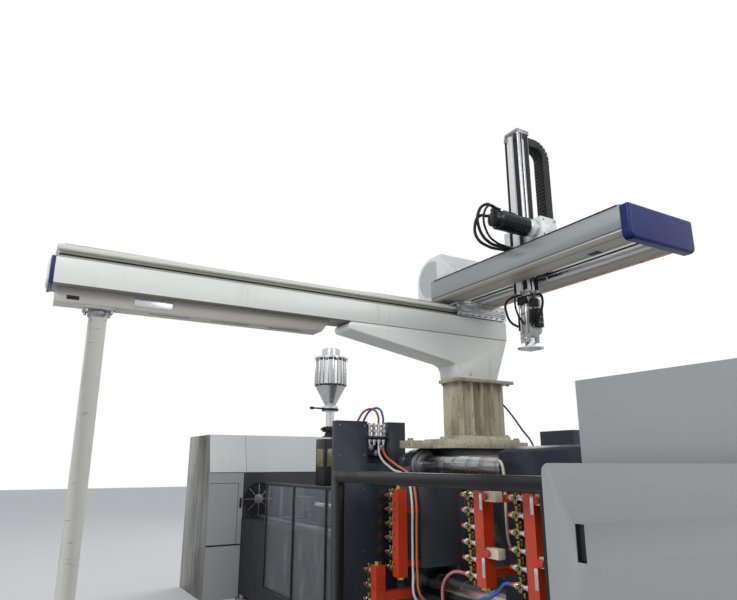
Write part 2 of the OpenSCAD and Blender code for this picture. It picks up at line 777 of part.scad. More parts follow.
// Points of the hoses from the quick couplings, past the platen's side and down to the bed.
side_y = -platen_w / 2;
white_hose = [[-500, -670, 1804], [-500, -670, 1750], [-440, -690, 1690],
  [-250, side_y - 85, 1600], [-40, side_y - 85, 1530], [5, side_y - 83, 1400],
  [5, side_y - 80, 900], [12, side_y - 70, 740], [20, side_y - 20, 690],
  [20, side_y + 20, bed_top + 23], [20, side_y + 20, bed_top]];
orange_hose = [[-500, -626, 1804], [-500, -626, 1760], [-440, -650, 1710],
  [-250, side_y - 48, 1630], [-50, side_y - 48, 1540], [5, side_y - 46, 1400],
  [5, side_y - 44, 900], [12, side_y - 30, 760], [20, side_y + 30, 700],
  [20, side_y + 60, bed_top + 27], [20, side_y + 60, bed_top]];

// The hoses that run from the quick couplings down to the bed.
module coupling_hoses() color("whitesmoke") {
  hose(smooth(white_hose), hose_r);
  hose(smooth(orange_hose), hose_r);
}

// Each hose of the moving half runs from its manifold's lowest outlet back to the return block.
return_z = [720, 770];
module moving_hoses() color("palevioletred") {
  y = moving_mani_y;
  z = mani_z0 + mani_pitch / 2;
  tip = [for (x = moving_mani) x - mani_s / 2 - nipple_l];
  a = tip[0];
  b = tip[1];
  zr = mid(return_z[0], return_z[1]);
  hose(smooth([[a, y, z], [a - 60, y, z], [a - 170, y, z - 40], [a - 215, y, z - 160],
    [a - 170, y, zr + 5], [a - 80, y, zr], [a - 20, y, zr], [moving_x0 + return_x[0], y, zr]]), hose_r);
  hose(smooth([[b, y, z], [b - 45, y, z], [b - 110, y, z - 70], [b - 260, y, z - 110],
    [b - 300, y, z - 190], [b - 270, y, return_z[1] + 50], [b - 270, y, return_z[1] + 20],
    [b - 270, y, return_z[1]]]), hose_r);
}

barrel_x0 = barrel_x1 - barrel_len;
throat_z0 = centre_z - throat_h / 2;
throat_z1 = centre_z + throat_h / 2;
slide_z0 = inj_top + inj_rail_h + run_gap;
feed_x = barrel_x0 + throat_l / 2;
feed_r = 45;

// Block that holds the barrel, with a feed hole on top and a lug at each side for the pull bars.
module throat_block() color("#3a3f4a") difference() {
  union() {
    block([barrel_x0, barrel_x0 + throat_l], [-throat_h / 2, throat_h / 2], [slide_z0 + slide_t, throat_z1]);
    block([barrel_x0 - 20, barrel_x0 + throat_l + 20],
      [-(inj_rail_pitch + inj_rail_w) / 2 - 10, (inj_rail_pitch + inj_rail_w) / 2 + 10],
      [slide_z0, slide_z0 + slide_t]);
    both_sides() block([barrel_x0, barrel_x0 + throat_l], [throat_h / 2 - 1, pull_pitch / 2 + 60],
      [centre_z - 70, centre_z + 70]);
  }
  rod_x([barrel_x0 - 1, barrel_x0 + throat_l + 1], 0, centre_z, barrel_r + run_gap);
  rod_z(feed_x, 0, [centre_z, throat_z1 + 1], feed_r);
  both_sides() rod_x([barrel_x0 - 1, barrel_x0 + throat_l + 1], pull_pitch / 2, centre_z,
    pull_r + run_gap);
}

module pull_bars() color("silver") both_sides()
  rod_x([barrel_x0 - 70, -fixed_t], pull_pitch / 2, centre_z, pull_r);

module barrel() color("silver") difference() {
  rod_x([barrel_x0, barrel_x1], 0, centre_z, barrel_r);
  rod_x([barrel_x0 - 1, barrel_x1 + 1], 0, centre_z, screw_r + run_gap);
  rod_z(feed_x, 0, [centre_z, throat_z1], feed_r);
}

band_pitch = (barrel_len - throat_l - 60) / band_n;

// Clamped rings around the barrel, each with a small terminal box.
module heater_bands() color("#8d8f92") for (k = [0:band_n - 1]) {
  x = barrel_x1 - 30 - band_l - k * band_pitch;
  difference() {
    union() {
      rod_x([x, x + band_l], 0, centre_z, barrel_r + band_t);
      block([x + band_l / 2 - 30, x + band_l / 2 + 30], [-22, 22],
        [centre_z, centre_z + barrel_r + band_t + 30]);
    }
    rod_x([x - 1, x + band_l + 1], 0, centre_z, barrel_r + run_gap);
  }
}

// Nozzle with a round flange, a straight body and a narrow tip.
module nozzle() color("dimgray") difference() {
  union() {
    rod_x([barrel_x1, barrel_x1 + 40], 0, centre_z, barrel_r - 6);
    rod_x([barrel_x1, nozzle_x - 40], 0, centre_z, nozzle_r);
    translate([nozzle_x - 40, 0, centre_z]) rotate([0, 90, 0])
      cylinder(h = 40, r1 = nozzle_r, r2 = nozzle_r / 2.5);
  }
  rod_x([barrel_x1 - 1, nozzle_x + 1], 0, centre_z, 6);
}

drive_x1 = barrel_x0 - 120;
drive_x0 = drive_x1 - thrust_l;
drive_motor_l = 240;
shank_r = screw_r - 7;

// Thrust housing on its slide plate, with the screw's motor behind it.
module drive_unit() color("#3a3f4a") difference() {
  slide_y = (inj_rail_pitch + inj_rail_w) / 2 + 10;
  union() {
    block([drive_x0, drive_x1], [-170, 170], [slide_z0 + slide_t, centre_z + 170]);
    block([drive_x0 - 20, drive_x1], [-slide_y, slide_y], [slide_z0, slide_z0 + slide_t]);
    rod_x([drive_x0 - drive_motor_l, drive_x0], 0, centre_z, 130);
    rod_x([drive_x0 - drive_motor_l - 20, drive_x0 - drive_motor_l], 0, centre_z, 110);
  }
  rod_x([drive_x0 + 40, drive_x1 + 1], 0, centre_z, shank_r + run_gap);
}

// Screw with even rings for its flight and a plain shank at its back.
module screw() color("silver") {
  root_r = screw_r * 0.72;
  pitch = 2 * screw_r;
  x0 = barrel_x0 + 60;
  turns = floor((barrel_x1 - 60 - x0) / pitch);
  rod_x([drive_x0 + 45, x0], 0, centre_z, shank_r);
  rod_x([x0, x0 + turns * pitch], 0, centre_z, root_r);
  for (k = [0:turns - 1])
    translate([x0 + k * pitch + pitch / 2, 0, centre_z]) rotate([0, 90, 0])
      cylinder(h = pitch / 8, r = screw_r - 1);
  translate([x0 + turns * pitch, 0, centre_z]) rotate([0, 90, 0])
    cylinder(h = 40, r1 = root_r, r2 = 4);
}

neck_z0 = throat_z1 + sight_h;
cone_z0 = throat_z1 + neck_h;
hopper_z0 = cone_z0 + cone_h;
hopper_z1 = hopper_z0 + hopper_h;

// Neck with a sight box and a cone and drum above it, turned in one sheet and open at the top.
module hopper() color("silver") translate([feed_x, 0, 0]) {
  difference() {
    block([-sight_s / 2, sight_s / 2], [-sight_s / 2, sight_s / 2], [throat_z1, throat_z1 + sight_h]);
    rod_z(0, 0, [throat_z1 - 1, throat_z1 + sight_h + 1], feed_r);
  }
  rotate_extrude() polygon([
    [feed_r, neck_z0], [feed_r + 45, neck_z0], [feed_r + 45, neck_z0 + 20],
    [feed_r + hopper_t, neck_z0 + 20], [feed_r + hopper_t, cone_z0 - 60],
    [feed_r + 50, cone_z0 - 60], [feed_r + 50, cone_z0], [feed_r + 12, cone_z0],
    [hopper_r, hopper_z0], [hopper_r, hopper_z1 - 10], [hopper_r + 14, hopper_z1 - 10],
    [hopper_r + 14, hopper_z1], [hopper_r - hopper_t, hopper_z1],
    [hopper_r - hopper_t, hopper_z0 + 1], [feed_r + 4, cone_z0 + 8], [feed_r, cone_z0]]);
}

// Lid plate with a dished loader can, hinged at the rim's far side.
module hopper_lid() color("silver") translate([feed_x, 0, hopper_z1 + run_gap]) {
  rod_z(0, 0, [0, 8], hopper_r + 14);
  rod_z(0, 0, [8, loader_h], loader_r);
  rod_z(0, 0, [loader_h, loader_h + 15], loader_r - 30);
  rod_x([-50, 50], hopper_r + 26, 6, 12);
  block([-40, 40], [hopper_r - 20, hopper_r + 20], [2, 8]);
}

pane_back = 900;
pane_front = 260;
panel_x = [enclosure_x1 + pane_back, bed_x0 - pane_front];
panel_z = [foot_h + 190, centre_z + 215];
pane_t = 8;
pane_rim = 30;

// Two framed see-through walls beside the bed and the barrel.
module barrel_guard() color("#1c1e22") both_sides() {
  y = [inj_bed_w / 2, inj_bed_w / 2 + pane_rim];
  pane_x = [panel_x[0] + pane_rim, panel_x[1] - pane_rim];
  pane_z = [panel_z[0] + pane_rim, panel_z[1] - pane_rim];
  difference() {
    block(panel_x, y, panel_z);
    block(pane_x, [y[0] - 1, y[1] + 1], pane_z);
  }
  block(pane_x, [y[0] + 10, y[0] + 10 + pane_t], pane_z);
}

purge_l = 290;
purge_gap = 50;
purge_low = 1130;
purge_x = [bed_x0 - purge_gap - purge_l, bed_x0 - purge_gap];
purge_y = 200;
purge_z = 1400;
hinge_y = purge_y + 6;

// Hinged hood over the barrel's front, with its hinge rod along one upper edge.
module purge_guard() color("lightgray") {
  difference() {
    block(purge_x, [-purge_y, purge_y], [purge_low, purge_z]);
    block([purge_x[0] - 1, purge_x[1] + 1], [-purge_y + sheet_t, purge_y + 1], [purge_low - 1, purge_z - sheet_t]);
  }
  rod_x([purge_x[0] - 25, purge_x[1] + 25], hinge_y, purge_z - 12, 6);
  rod_x(purge_x, hinge_y, purge_z - 12, 12);
}

// Two posts that carry the hood's hinge rod.
module purge_post() {
  difference() {
    for (x = [purge_x[0] - 31, purge_x[1] + 1])
      block([x, x + 30], [purge_y - 8, purge_y + 32], [inj_top, purge_z + 10]);
    rod_x([purge_x[0] - 40, purge_x[1] + 40], hinge_y, purge_z - 12, 6 + run_gap);
  }
}

// Side view of the power enclosure, drawn in by the sheet's thickness and down to its lower edge.
module enclosure_side(inset, low) polygon([[machine_x0 + inset, low], [enclosure_x1 - inset, low],
  [enclosure_x1 - inset, enclosure_top - slope_h - inset / 2],
  [enclosure_x1 - slope_run - inset, enclosure_top - inset], [machine_x0 + inset, enclosure_top - inset]]);

// Sheet cabinet whose face towards the clamp slopes back in its upper part.
module power_enclosure() color("gainsboro") difference() {
  translate([0, enclosure_w / 2, 0]) rotate([90, 0, 0])
    linear_extrude(height = enclosure_w) enclosure_side(0, 0);
  translate([0, enclosure_w / 2 - sheet_t, 0]) rotate([90, 0, 0])
    linear_extrude(height = enclosure_w - 2 * sheet_t) enclosure_side(sheet_t, -1);
}

tube_gap = 150;
tube_x = guard_x0 - tube_gap;
tube_y = guard_y - guard_d / 2;
swivel_z = 1560;

// Standing tube on the sill that carries the control panel.
module panel_bracket() color("dimgray") {
  rod_z(tube_x, tube_y, [cross_z0 + cross_h, swivel_z + 90], swivel_r);
  rod_z(tube_x, tube_y, [swivel_z - 12, swivel_z], swivel_r + 20);
}

module control_panel() color("#23262e") {
  difference() {
    union() {
      rod_z(tube_x, tube_y, [swivel_z + run_gap, swivel_z + 60], swivel_r + 18);
      block([tube_x - 20, tube_x + 20], [tube_y, tube_y + panel_reach], [swivel_z + run_gap, swivel_z + 60]);
    }
    rod_z(tube_x, tube_y, [swivel_z - 1, swivel_z + 61], swivel_r + run_gap);
  }
  block([tube_x - 60, tube_x + panel_w - 60], [tube_y + panel_reach, tube_y + panel_reach + panel_d],
    [swivel_z - 180, swivel_z - 180 + panel_h]);
}

riser_y = [-217, -217 + riser_w];
riser_x0 = -220;
stand_y = [-393, 333];

// Beige stand on the platen: wide bar, thick plate, ribbed box and thin top plate.
module riser() color("#d8cfb4") {
  block([riser_x0 - 30, 60], stand_y, [platen_z1, riser_z0]);
  difference() {
    block([riser_x0 - 60, riser_x0 + 90], [-bar_half, bar_half], [platen_z1, riser_z0 - 12]);
    for (y = [-bar_bolt_y, bar_bolt_y]) rod_z(riser_x0 + 15, y, [platen_z1 - 1, riser_z0], 14);
  }
  block([riser_x0 - 20, 45], [riser_y[0] - 30, riser_y[1] + 30], [riser_z0, riser_z0 + riser_plate_t]);
  block([riser_x0, riser_x0 + riser_d], riser_y, [riser_z0 + riser_plate_t, riser_z0 + riser_h]);
  for (k = [0:4]) {
    y = riser_y[0] + k * (riser_w - riser_rib_t) / 4;
    block([riser_x0 - 1, riser_x0 + riser_d + riser_rib_d], [y, y + riser_rib_t],
      [riser_z0 + riser_plate_t, riser_z0 + riser_h]);
  }
  block([riser_x0 + 15, 60], [-270, 304], [riser_z0 + riser_h, casting_z0]);
}

post_x_mid = -150;

module support_post() color("#d8cfb4") {
  h = beam_z0 - tray_h - 12;
  difference() {
    block([post_x_mid - floor_plate / 2, post_x_mid + floor_plate / 2],
      [post_y - floor_plate / 2, post_y + floor_plate / 2], [0, 20]);
    for (sx = [-1, 1], sy = [-1, 1])
      rod_z(post_x_mid + sx * anchor_pitch / 2, post_y + sy * anchor_pitch / 2, [-1, 21], anchor_r);
  }
  s = post_side / 2;
  block([post_x_mid - s, post_x_mid + s], [post_y - s, post_y + s], [20, h]);
  block([post_x_mid - s - 25, post_x_mid + s + 25], [post_y - s - 40, post_y + s + 40], [h, h + 12]);
}

// The column's outline, across the machine and above its foot, read off by eye.
column_edge = [[-300, 132], [-252, 110], [-231, 62], [-226, 0], [179, 0]];

// Casting under the beam: a column on the riser and a long arm that tapers out to a round tip.
module base_casting() color("whitesmoke") {
  tip_r = 32;
  tip_y = -cast_reach + tip_r;
  rotate([90, 0, 90]) translate([0, 0, -trav_d]) linear_extrude(height = trav_d) union() {
    polygon(concat([[tip_y, beam_z0], [tip_y, beam_z0 - 2 * tip_r]],
      [for (p = column_edge) [p[0], casting_z0 + p[1]]], [[trav_y1, beam_z0]]));
    translate([tip_y, beam_z0 - tip_r]) circle(r = tip_r);
  }
}

// Box beam with a groove along its front, closed by end walls.
module traverse_beam() color("whitesmoke") difference() {
  block([-trav_d, 0], [trav_y0, trav_y1], [beam_z0, lip_z1]);
  block([-groove_d, 1], [trav_y0 - 1, trav_y1 + 1], [beam_z1, groove_z1]);
  block([-trav_d + 12, -groove_d - 12], [trav_y0 + 60, trav_y1 - 12], [beam_z0 + 12, lip_z1 - 12]);
}

module cable_tray() color("lightgray")
  translate([-trav_d + 20, 0, 0]) rotate([90, 0, 90]) linear_extrude(height = trav_d - 90)
    polygon([[trav_y0 + 24, beam_z0 - tray_h], [trav_y0 + 24 + tray_l, beam_z0 - tray_h],
      [trav_y0 + 24 + tray_l + 70, beam_z0], [trav_y0 + 24, beam_z0]]);

module beam_end_cap() color("#26345f") {
  block([-trav_d - 4, 4], [trav_y0 - end_plate_t, trav_y0], [beam_z0 - 6, beam_z1 + 4]);
  block([-trav_d + 20, -20], [drop_y, trav_y0 - end_plate_t], [beam_z0 + 20, beam_z1 - 14]);
}

rail_places = [-60, -trav_d + 50];

module traverse_rails() color("silver") for (x = rail_places)
  block([x - lin_w / 2, x + lin_w / 2], [trav_y0 + 40, trav_y1 - 8], [lip_z1, lip_z1 + lin_h]);

saddle_y = [-220, 305];

// Grooved plate that straddles the two rails and hangs over the beam's front.
module robot_saddle() color("gainsboro") {
  block([-trav_d - 10, 16], saddle_y, [saddle_z, kick_z0]);
  difference() {
    block([1, 16], saddle_y, [beam_z1 + 4, saddle_z]);
    for (z = [beam_z1 + 34, beam_z1 + 58, groove_z1 + 18])
      block([12, 17], [saddle_y[0] - 1, saddle_y[1] + 1], [z, z + 7]);
    for (k = [0:7])
      rod_x([10, 17], saddle_y[0] + 35 + k * 65, beam_z1 + 18, 6);
  }
}

// Two aluminium profiles with a long slot between them, joined at both ends.
module cross_frame() color("silver") {
  difference() {
    block([kick_x0, kick_x1], [kick_y0, slot_y0], [kick_z0, kick_z1]);
    block([kick_x0 + 30, kick_x1 - 30], [kick_y0 + profile_t, slot_y0 - profile_t], [kick_z0 + 22, kick_z1 - 14]);
    block([kick_x0 - 1, kick_x1 + 1], [kick_y0 - 1, kick_y0 + 5], [kick_z0 + 14, kick_z0 + 24]);
  }
  difference() {
    block([kick_x0, kick_x1], [slot_y1, kick_y1], [kick_z0, kick_z1]);
    block([kick_x0 + 30, kick_x1 - 30], [slot_y1 + profile_t, kick_y1 - profile_t], [kick_z0 + 22, kick_z1 - 14]);
  }
  block([kick_x0, kick_x0 + 20], [slot_y0 - 1, slot_y1 + 1], [kick_z0, kick_z1]);
  block([kick_x1 - 20, kick_x1], [slot_y0 - 1, slot_y1 + 1], [kick_z0, kick_z1]);
}

cross_rail_y = [slot_y0 - 60, slot_y1 + 60];

module cross_rails() color("silver") for (y = cross_rail_y)
  block([kick_x0 + 100, kick_x1 - 25], [y - lin_w / 2, y + lin_w / 2], [kick_z1, kick_z1 + lin_h]);

// End cap with cut lower corners, hanging a little under the frame.
module frame_end_cap() color("#1f3f9a")
  translate([kick_x1, 0, 0]) rotate([90, 0, 90]) linear_extrude(height = cap_t)
    polygon([[kick_y0 - 8, kick_z1 - 26], [kick_y0 + 14, kick_z1 - 4], [kick_y1 - 14, kick_z1 - 4],
      [kick_y1 + 8, kick_z1 - 26], [kick_y1 + 8, kick_z0 - cap_drop + 40],
      [kick_y1 - 36, kick_z0 - cap_drop], [kick_y0 + 36, kick_z0 - cap_drop],
      [kick_y0 - 8, kick_z0 - cap_drop + 40]]);

cover_r = 200;
cover_x0 = kick_x0 - 250;
cover_y = [-325, 250];
cover_z0 = kick_z0 + 15;
cover_top = kick_z1 + 234;

// Side view of the saddle's cover: upright back, quarter round and a lip over the cross frame.
module cover_outline() {
  translate([cover_x0, cover_z0]) square([kick_x0 - run_gap - cover_x0, cover_top - cover_r - cover_z0]);
  translate([cover_x0 + cover_r, kick_z1 + run_gap]) square([140, cover_top - kick_z1 - run_gap]);
  intersection() {
    translate([cover_x0 + cover_r, cover_top - cover_r]) circle(r = cover_r);
    translate([cover_x0, cover_top - cover_r - 1]) square([cover_r + 1, cover_r + 2]);
  }
}

// Moulded cover behind the cross frame, with a round back, open underneath.
module saddle_cover() color("whitesmoke") difference() {
  translate([0, cover_y[1], 0]) rotate([90, 0, 0]) linear_extrude(height = cover_y[1] - cover_y[0])
    cover_outline();
  block([cover_x0 + sheet_t, kick_x0 - run_gap - sheet_t], [cover_y[0] + sheet_t, cover_y[1] - sheet_t],
    [cover_z0 - 1, cover_top - cover_r]);
}

carriage_z = kick_z1 + lin_h + run_gap;
carriage_x = [arm_x - arm_dx / 2 - 110, arm_x + arm_dx / 2 + gearbox_s + 20];
arm_gap = 4;
chain_out = 96;
arm_y_lo = arm_y - arm_dy / 2;
arm_y_hi = arm_y + arm_dy / 2;
gear_x = arm_x + arm_dx / 2 + arm_gap + 4 + gearbox_s / 2;
motor_z = kick_z1 + motor_up;
gear_y0 = -110;
gear_y = [gear_y0, gear_y0 + gearbox_s];

// Plate on the cross rails with a tall guide block around the arm's back.
module arm_carriage() color("silver") difference() {
  union() {
    block(carriage_x, [cross_rail_y[0] - 30, cross_rail_y[1] + 30], [carriage_z, carriage_z + 22]);
    block([arm_x - arm_dx / 2 - 60, arm_x - arm_dx / 2 - run_gap], [arm_y_lo - 10, arm_y_hi + 10],
      [kick_z0 + 20, kick_z1 + 260]);
    block([gear_x - 60, gear_x + 60], [gear_y[0] + 10, gear_y[1] - 10], [carriage_z, motor_z - gearbox_s / 2]);
    block([arm_x - chain_w / 2 - 8, arm_x + chain_w / 2 + 8],
      [cross_rail_y[1], arm_y_hi + chain_out + chain_r + chain_t / 2 + 8], [carriage_z, carriage_z + 22]);
  }
  block([arm_x - arm_dx / 2 - run_gap, arm_x + arm_dx / 2 + arm_gap], [arm_y_lo - arm_gap, arm_y_hi + arm_gap],
    [carriage_z - 1, carriage_z + 30]);
}

module arm_motor() color("#17191d") {
  y1 = gear_y[0] - 80;
  rod_y(gear_x, [y1 - motor_l, y1], motor_z, motor_r);
  rod_y(gear_x, [y1 - motor_l - 50, y1 - motor_l], motor_z, motor_r - 12);
  block([gear_x - 25, gear_x + 25], [y1 - motor_l + 10, y1 - motor_l + 70], [motor_z, motor_z + motor_r + 22]);
}

module arm_gearbox() color("whitesmoke") {
  s = gearbox_s / 2;
  block([gear_x - s, gear_x + s], gear_y, [motor_z - s, motor_z + s]);
  rod_y(gear_x, [gear_y[0] - 80, gear_y[0]], motor_z, motor_r - 4);
}

chain_y0 = arm_y_hi + chain_out;
chain_z0 = carriage_z + 22;

// Cable chain: a level stub off the arm, a quarter bend and a straight leg down to the carriage.
module cable_chain() color("#1b1c1e") {
  x = [arm_x - chain_w / 2, arm_x + chain_w / 2];
  y = chain_y0 + chain_r;
  z = chain_top - chain_r;
  block(x, [y - chain_t / 2, y + chain_t / 2], [chain_z0, z]);
  block(x, [arm_y_hi + 6, chain_y0], [chain_top - chain_t / 2, chain_top + chain_t / 2]);
  intersection() {
    difference() {
      rod_x(x, chain_y0, z, chain_r + chain_t / 2);
      rod_x([x[0] - 1, x[1] + 1], chain_y0, z, chain_r - chain_t / 2);
    }
    block(x, [chain_y0, y + chain_t], [z, chain_top + chain_t]);
  }
}

// Hollow profile with a rail groove down each side and a bracket for the cable chain at its top.
module arm_profile() color("silver") {
  x = [arm_x - arm_dx / 2, arm_x + arm_dx / 2];
  difference() {
    block(x, [arm_y_lo, arm_y_hi], [arm_z0, arm_top - 14]);
    block([x[0] + 14, x[1] - 14], [arm_y_lo + 14, arm_y_hi - 14], [arm_z0 + 20, arm_top - 40]);
    for (y = [arm_y_lo - 1, arm_y_hi - 9])
      block([arm_x - 12, arm_x + 12], [y, y + 10], [arm_z0 - 1, arm_top]);
    block([x[1] - 8, x[1] + 1], [arm_y - 22, arm_y + 22], [arm_z0 - 1, arm_top]);
  }
  block([x[0] + 2, x[1] - 2], [arm_y_lo + 2, arm_y_hi - 2], [arm_top - 14, arm_top]);
  block([arm_x - chain_w / 2, arm_x + chain_w / 2], [arm_y_hi, arm_y_hi + 6],
    [min(chain_top - chain_t / 2, arm_top - chain_t), chain_top + chain_t / 2]);
}

// Wrist: a head plate, two side plates, an air cylinder block and the hinge pin.
module wrist_unit() color("silver") {
  y = [arm_y_lo + 8, arm_y_hi - 8];
  block([arm_x - 80, arm_x + 80], [arm_y_lo - 12, arm_y_hi + 12], [arm_z0 - 18, arm_z0]);
  for (k = [y[0], y[1] - 14])
    block([arm_x - 45, arm_x + 45], [k, k + 14], [hinge_z - 30, arm_z0 - 18]);
  block([arm_x - 40, arm_x + 40], [y[0] + 14, y[1] - 14], [hinge_z + 110, arm_z0 - 18]);
  rod_y(arm_x, [y[0] - 6, y[1] + 6], hinge_z, 14);
}

module wrist_cover() color("whitesmoke") {
  y = arm_y_hi - 8;
  block([arm_x - 55, arm_x + 55], [y, y + 32], [hinge_z + 30, arm_z0 - 30]);
}

// Square plate with four holes, carried by a knuckle around the hinge pin.
module gripper_plate() color("silver") difference() {
  z = hinge_z - 60;
  union() {
    block([arm_x - chuck_s / 2, arm_x + chuck_s / 2], [arm_y - chuck_s / 2, arm_y + chuck_s / 2],
      [z - chuck_t, z]);
    block([arm_x - 22, arm_x + 22], [arm_y - 30, arm_y + 30], [z, hinge_z]);
    rod_y(arm_x, [arm_y - 30, arm_y + 30], hinge_z, 22);
  }
  rod_y(arm_x, [arm_y - 31, arm_y + 31], hinge_z, 14 + run_gap);
  for (sx = [-1, 1], sy = [-1, 1])
    rod_z(arm_x + sx * chuck_pitch / 2, arm_y + sy * chuck_pitch / 2, [z - chuck_t - 1, z + 1],
      chuck_hole_r);
}

placed() clamp_bed();
placed() injection_bed();
placed() levelling_feet();
placed() guard_sills();
placed() slide_rails();
placed() stationary_platen();
placed() cylinder_platen();
placed() tie_bars();
placed() tie_bar_nuts();
placed() clamp_cylinder();
placed() moving_platen();
placed() platen_shoes();
placed() platen_top_cover();
placed() clamp_ram();
placed() ejector_cylinders();
placed() ejector_plate();
placed() rear_guard_frame();
placed() operator_guard_frame();
placed() rear_gate();
placed() operator_gate();
placed() clamp_cover();
placed() coupling_cabinet();
placed() fixed_manifolds();
placed() moving_manifolds();
placed() coupling_hoses();
placed() moving_hoses();
placed() throat_block();
placed() pull_bars();
placed() barrel();
placed() heater_bands();
placed() nozzle();
placed() drive_unit();
placed() screw();
placed() hopper();
placed() hopper_lid();
placed() barrel_guard();
placed() purge_guard();
placed() power_enclosure();
placed() control_panel();
placed() panel_bracket();
placed() riser();
placed() support_post();
placed() base_casting();
placed() traverse_beam();
placed() cable_tray();
placed() beam_end_cap();
placed() traverse_rails();
placed() robot_saddle();
placed() cross_frame();
placed() cross_rails();
placed() frame_end_cap();
placed() saddle_cover();
placed() arm_carriage();
placed() arm_motor();
placed() arm_gearbox();
placed() cable_chain();
placed() arm_profile();
placed() wrist_unit();
placed() wrist_cover();
placed() gripper_plate();
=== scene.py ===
"""Looks of an injection moulding machine with a take-out robot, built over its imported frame."""

import json
import math

import bmesh
import bpy
from bpy.props import FloatProperty, FloatVectorProperty, IntProperty, PointerProperty
from mathutils import Matrix, Vector


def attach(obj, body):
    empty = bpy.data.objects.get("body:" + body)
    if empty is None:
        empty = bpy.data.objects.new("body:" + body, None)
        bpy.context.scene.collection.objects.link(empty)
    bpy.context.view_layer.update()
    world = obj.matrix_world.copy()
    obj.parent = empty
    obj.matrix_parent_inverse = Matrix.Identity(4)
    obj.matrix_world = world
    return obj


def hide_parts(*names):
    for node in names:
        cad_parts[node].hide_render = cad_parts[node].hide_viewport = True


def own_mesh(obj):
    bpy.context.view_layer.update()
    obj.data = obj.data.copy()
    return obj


bl_info = {
    "name": "Injection moulding machine looks",
    "version": (1, 0, 0),
    "blender": (4, 5, 0),
    "location": "View3D > Sidebar > Machine",
    "description": "Dresses the packed moulding machine with bevels, fittings, hoses and finishes",
    "category": "Object",
}

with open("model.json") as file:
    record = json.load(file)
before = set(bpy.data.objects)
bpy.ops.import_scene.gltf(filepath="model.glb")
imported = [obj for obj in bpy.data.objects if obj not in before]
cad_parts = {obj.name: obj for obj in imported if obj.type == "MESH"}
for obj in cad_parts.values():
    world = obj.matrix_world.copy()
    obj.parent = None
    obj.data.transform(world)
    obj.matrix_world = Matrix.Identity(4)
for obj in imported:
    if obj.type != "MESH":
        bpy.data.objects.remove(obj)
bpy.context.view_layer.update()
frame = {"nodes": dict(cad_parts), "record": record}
SHIFT = Vector((575.0, 919.5, 0.0))
UP = Vector((0, 0, 1))
FINISH = {}

# Slot and finish of the pieces that share them, as settle takes them
BLACK, RUBBER = ("black_plastic", "black_plastic"), ("black_plastic", "black_rubber")
RED, WHITE = ("black_plastic", "red_plastic"), ("robot_white", "gloss_white")
DULL, BRIGHT = ("steel", "dull_steel"), ("steel", "bright_steel")
CHROME, PANE = ("chrome", "bright_steel"), ("clear_guard", "pane")
BRASS, OLIVE = ("bronze", "brass"), ("bronze", "olive_brass")
FRAME = ("black_frame", "frame_black")

# The photograph's viewpoint: place in millimetres, lens, and the camera's right, up and back directions
EYE, EYE_LENS = (3800, -3290, 1650), 29.61
EYE_AXES = ((0.5064, 0.8623, 0), (0.2226, -0.1307, 0.9661), (0.8331, -0.4893, -0.2582))

# Places on the machine in millimetres
AXIS_Z, TIE_OFFSET = 1205, 415
HOPPER_X = -2700
CABINET_FACE, FAN_Y, FAN_Z = -4199, -280, 1180
CHAIN_X = 635
COVER_SIDE = 1066.5
GUARD_SIDE = 514


def at(x, y, z):
    """A place in metres, from millimetres off the fixed platen's face, the centre line and the floor."""
    return (Vector((x, y, z)) + SHIFT) / 1000


def around(spot, angle, axis):
    """A turn about the named axis through a place in millimetres."""
    hub = Matrix.Translation(at(*spot))
    return hub @ Matrix.Rotation(angle, 4, axis) @ hub.inverted()


class Val:
    """A socket's value that adds Math nodes when it is used in an expression."""

    def __init__(self, shade, socket):
        self.shade, self.socket = shade, socket

    def _math(self, kind, a, b):
        return self.shade.add("ShaderNodeMath", {"operation": kind}, {0: a, 1: b})

    def __add__(self, other):
        return self._math("ADD", self, other)

    __radd__ = __add__

    def __mul__(self, other):
        return self._math("MULTIPLY", self, other)

    __rmul__ = __mul__

    def __sub__(self, other):
        return self._math("SUBTRACT", self, other)

    def __rsub__(self, other):
        return self._math("SUBTRACT", other, self)

    def __gt__(self, other):
        return self._math("GREATER_THAN", self, other)

    def __lt__(self, other):
        return self._math("LESS_THAN", self, other)


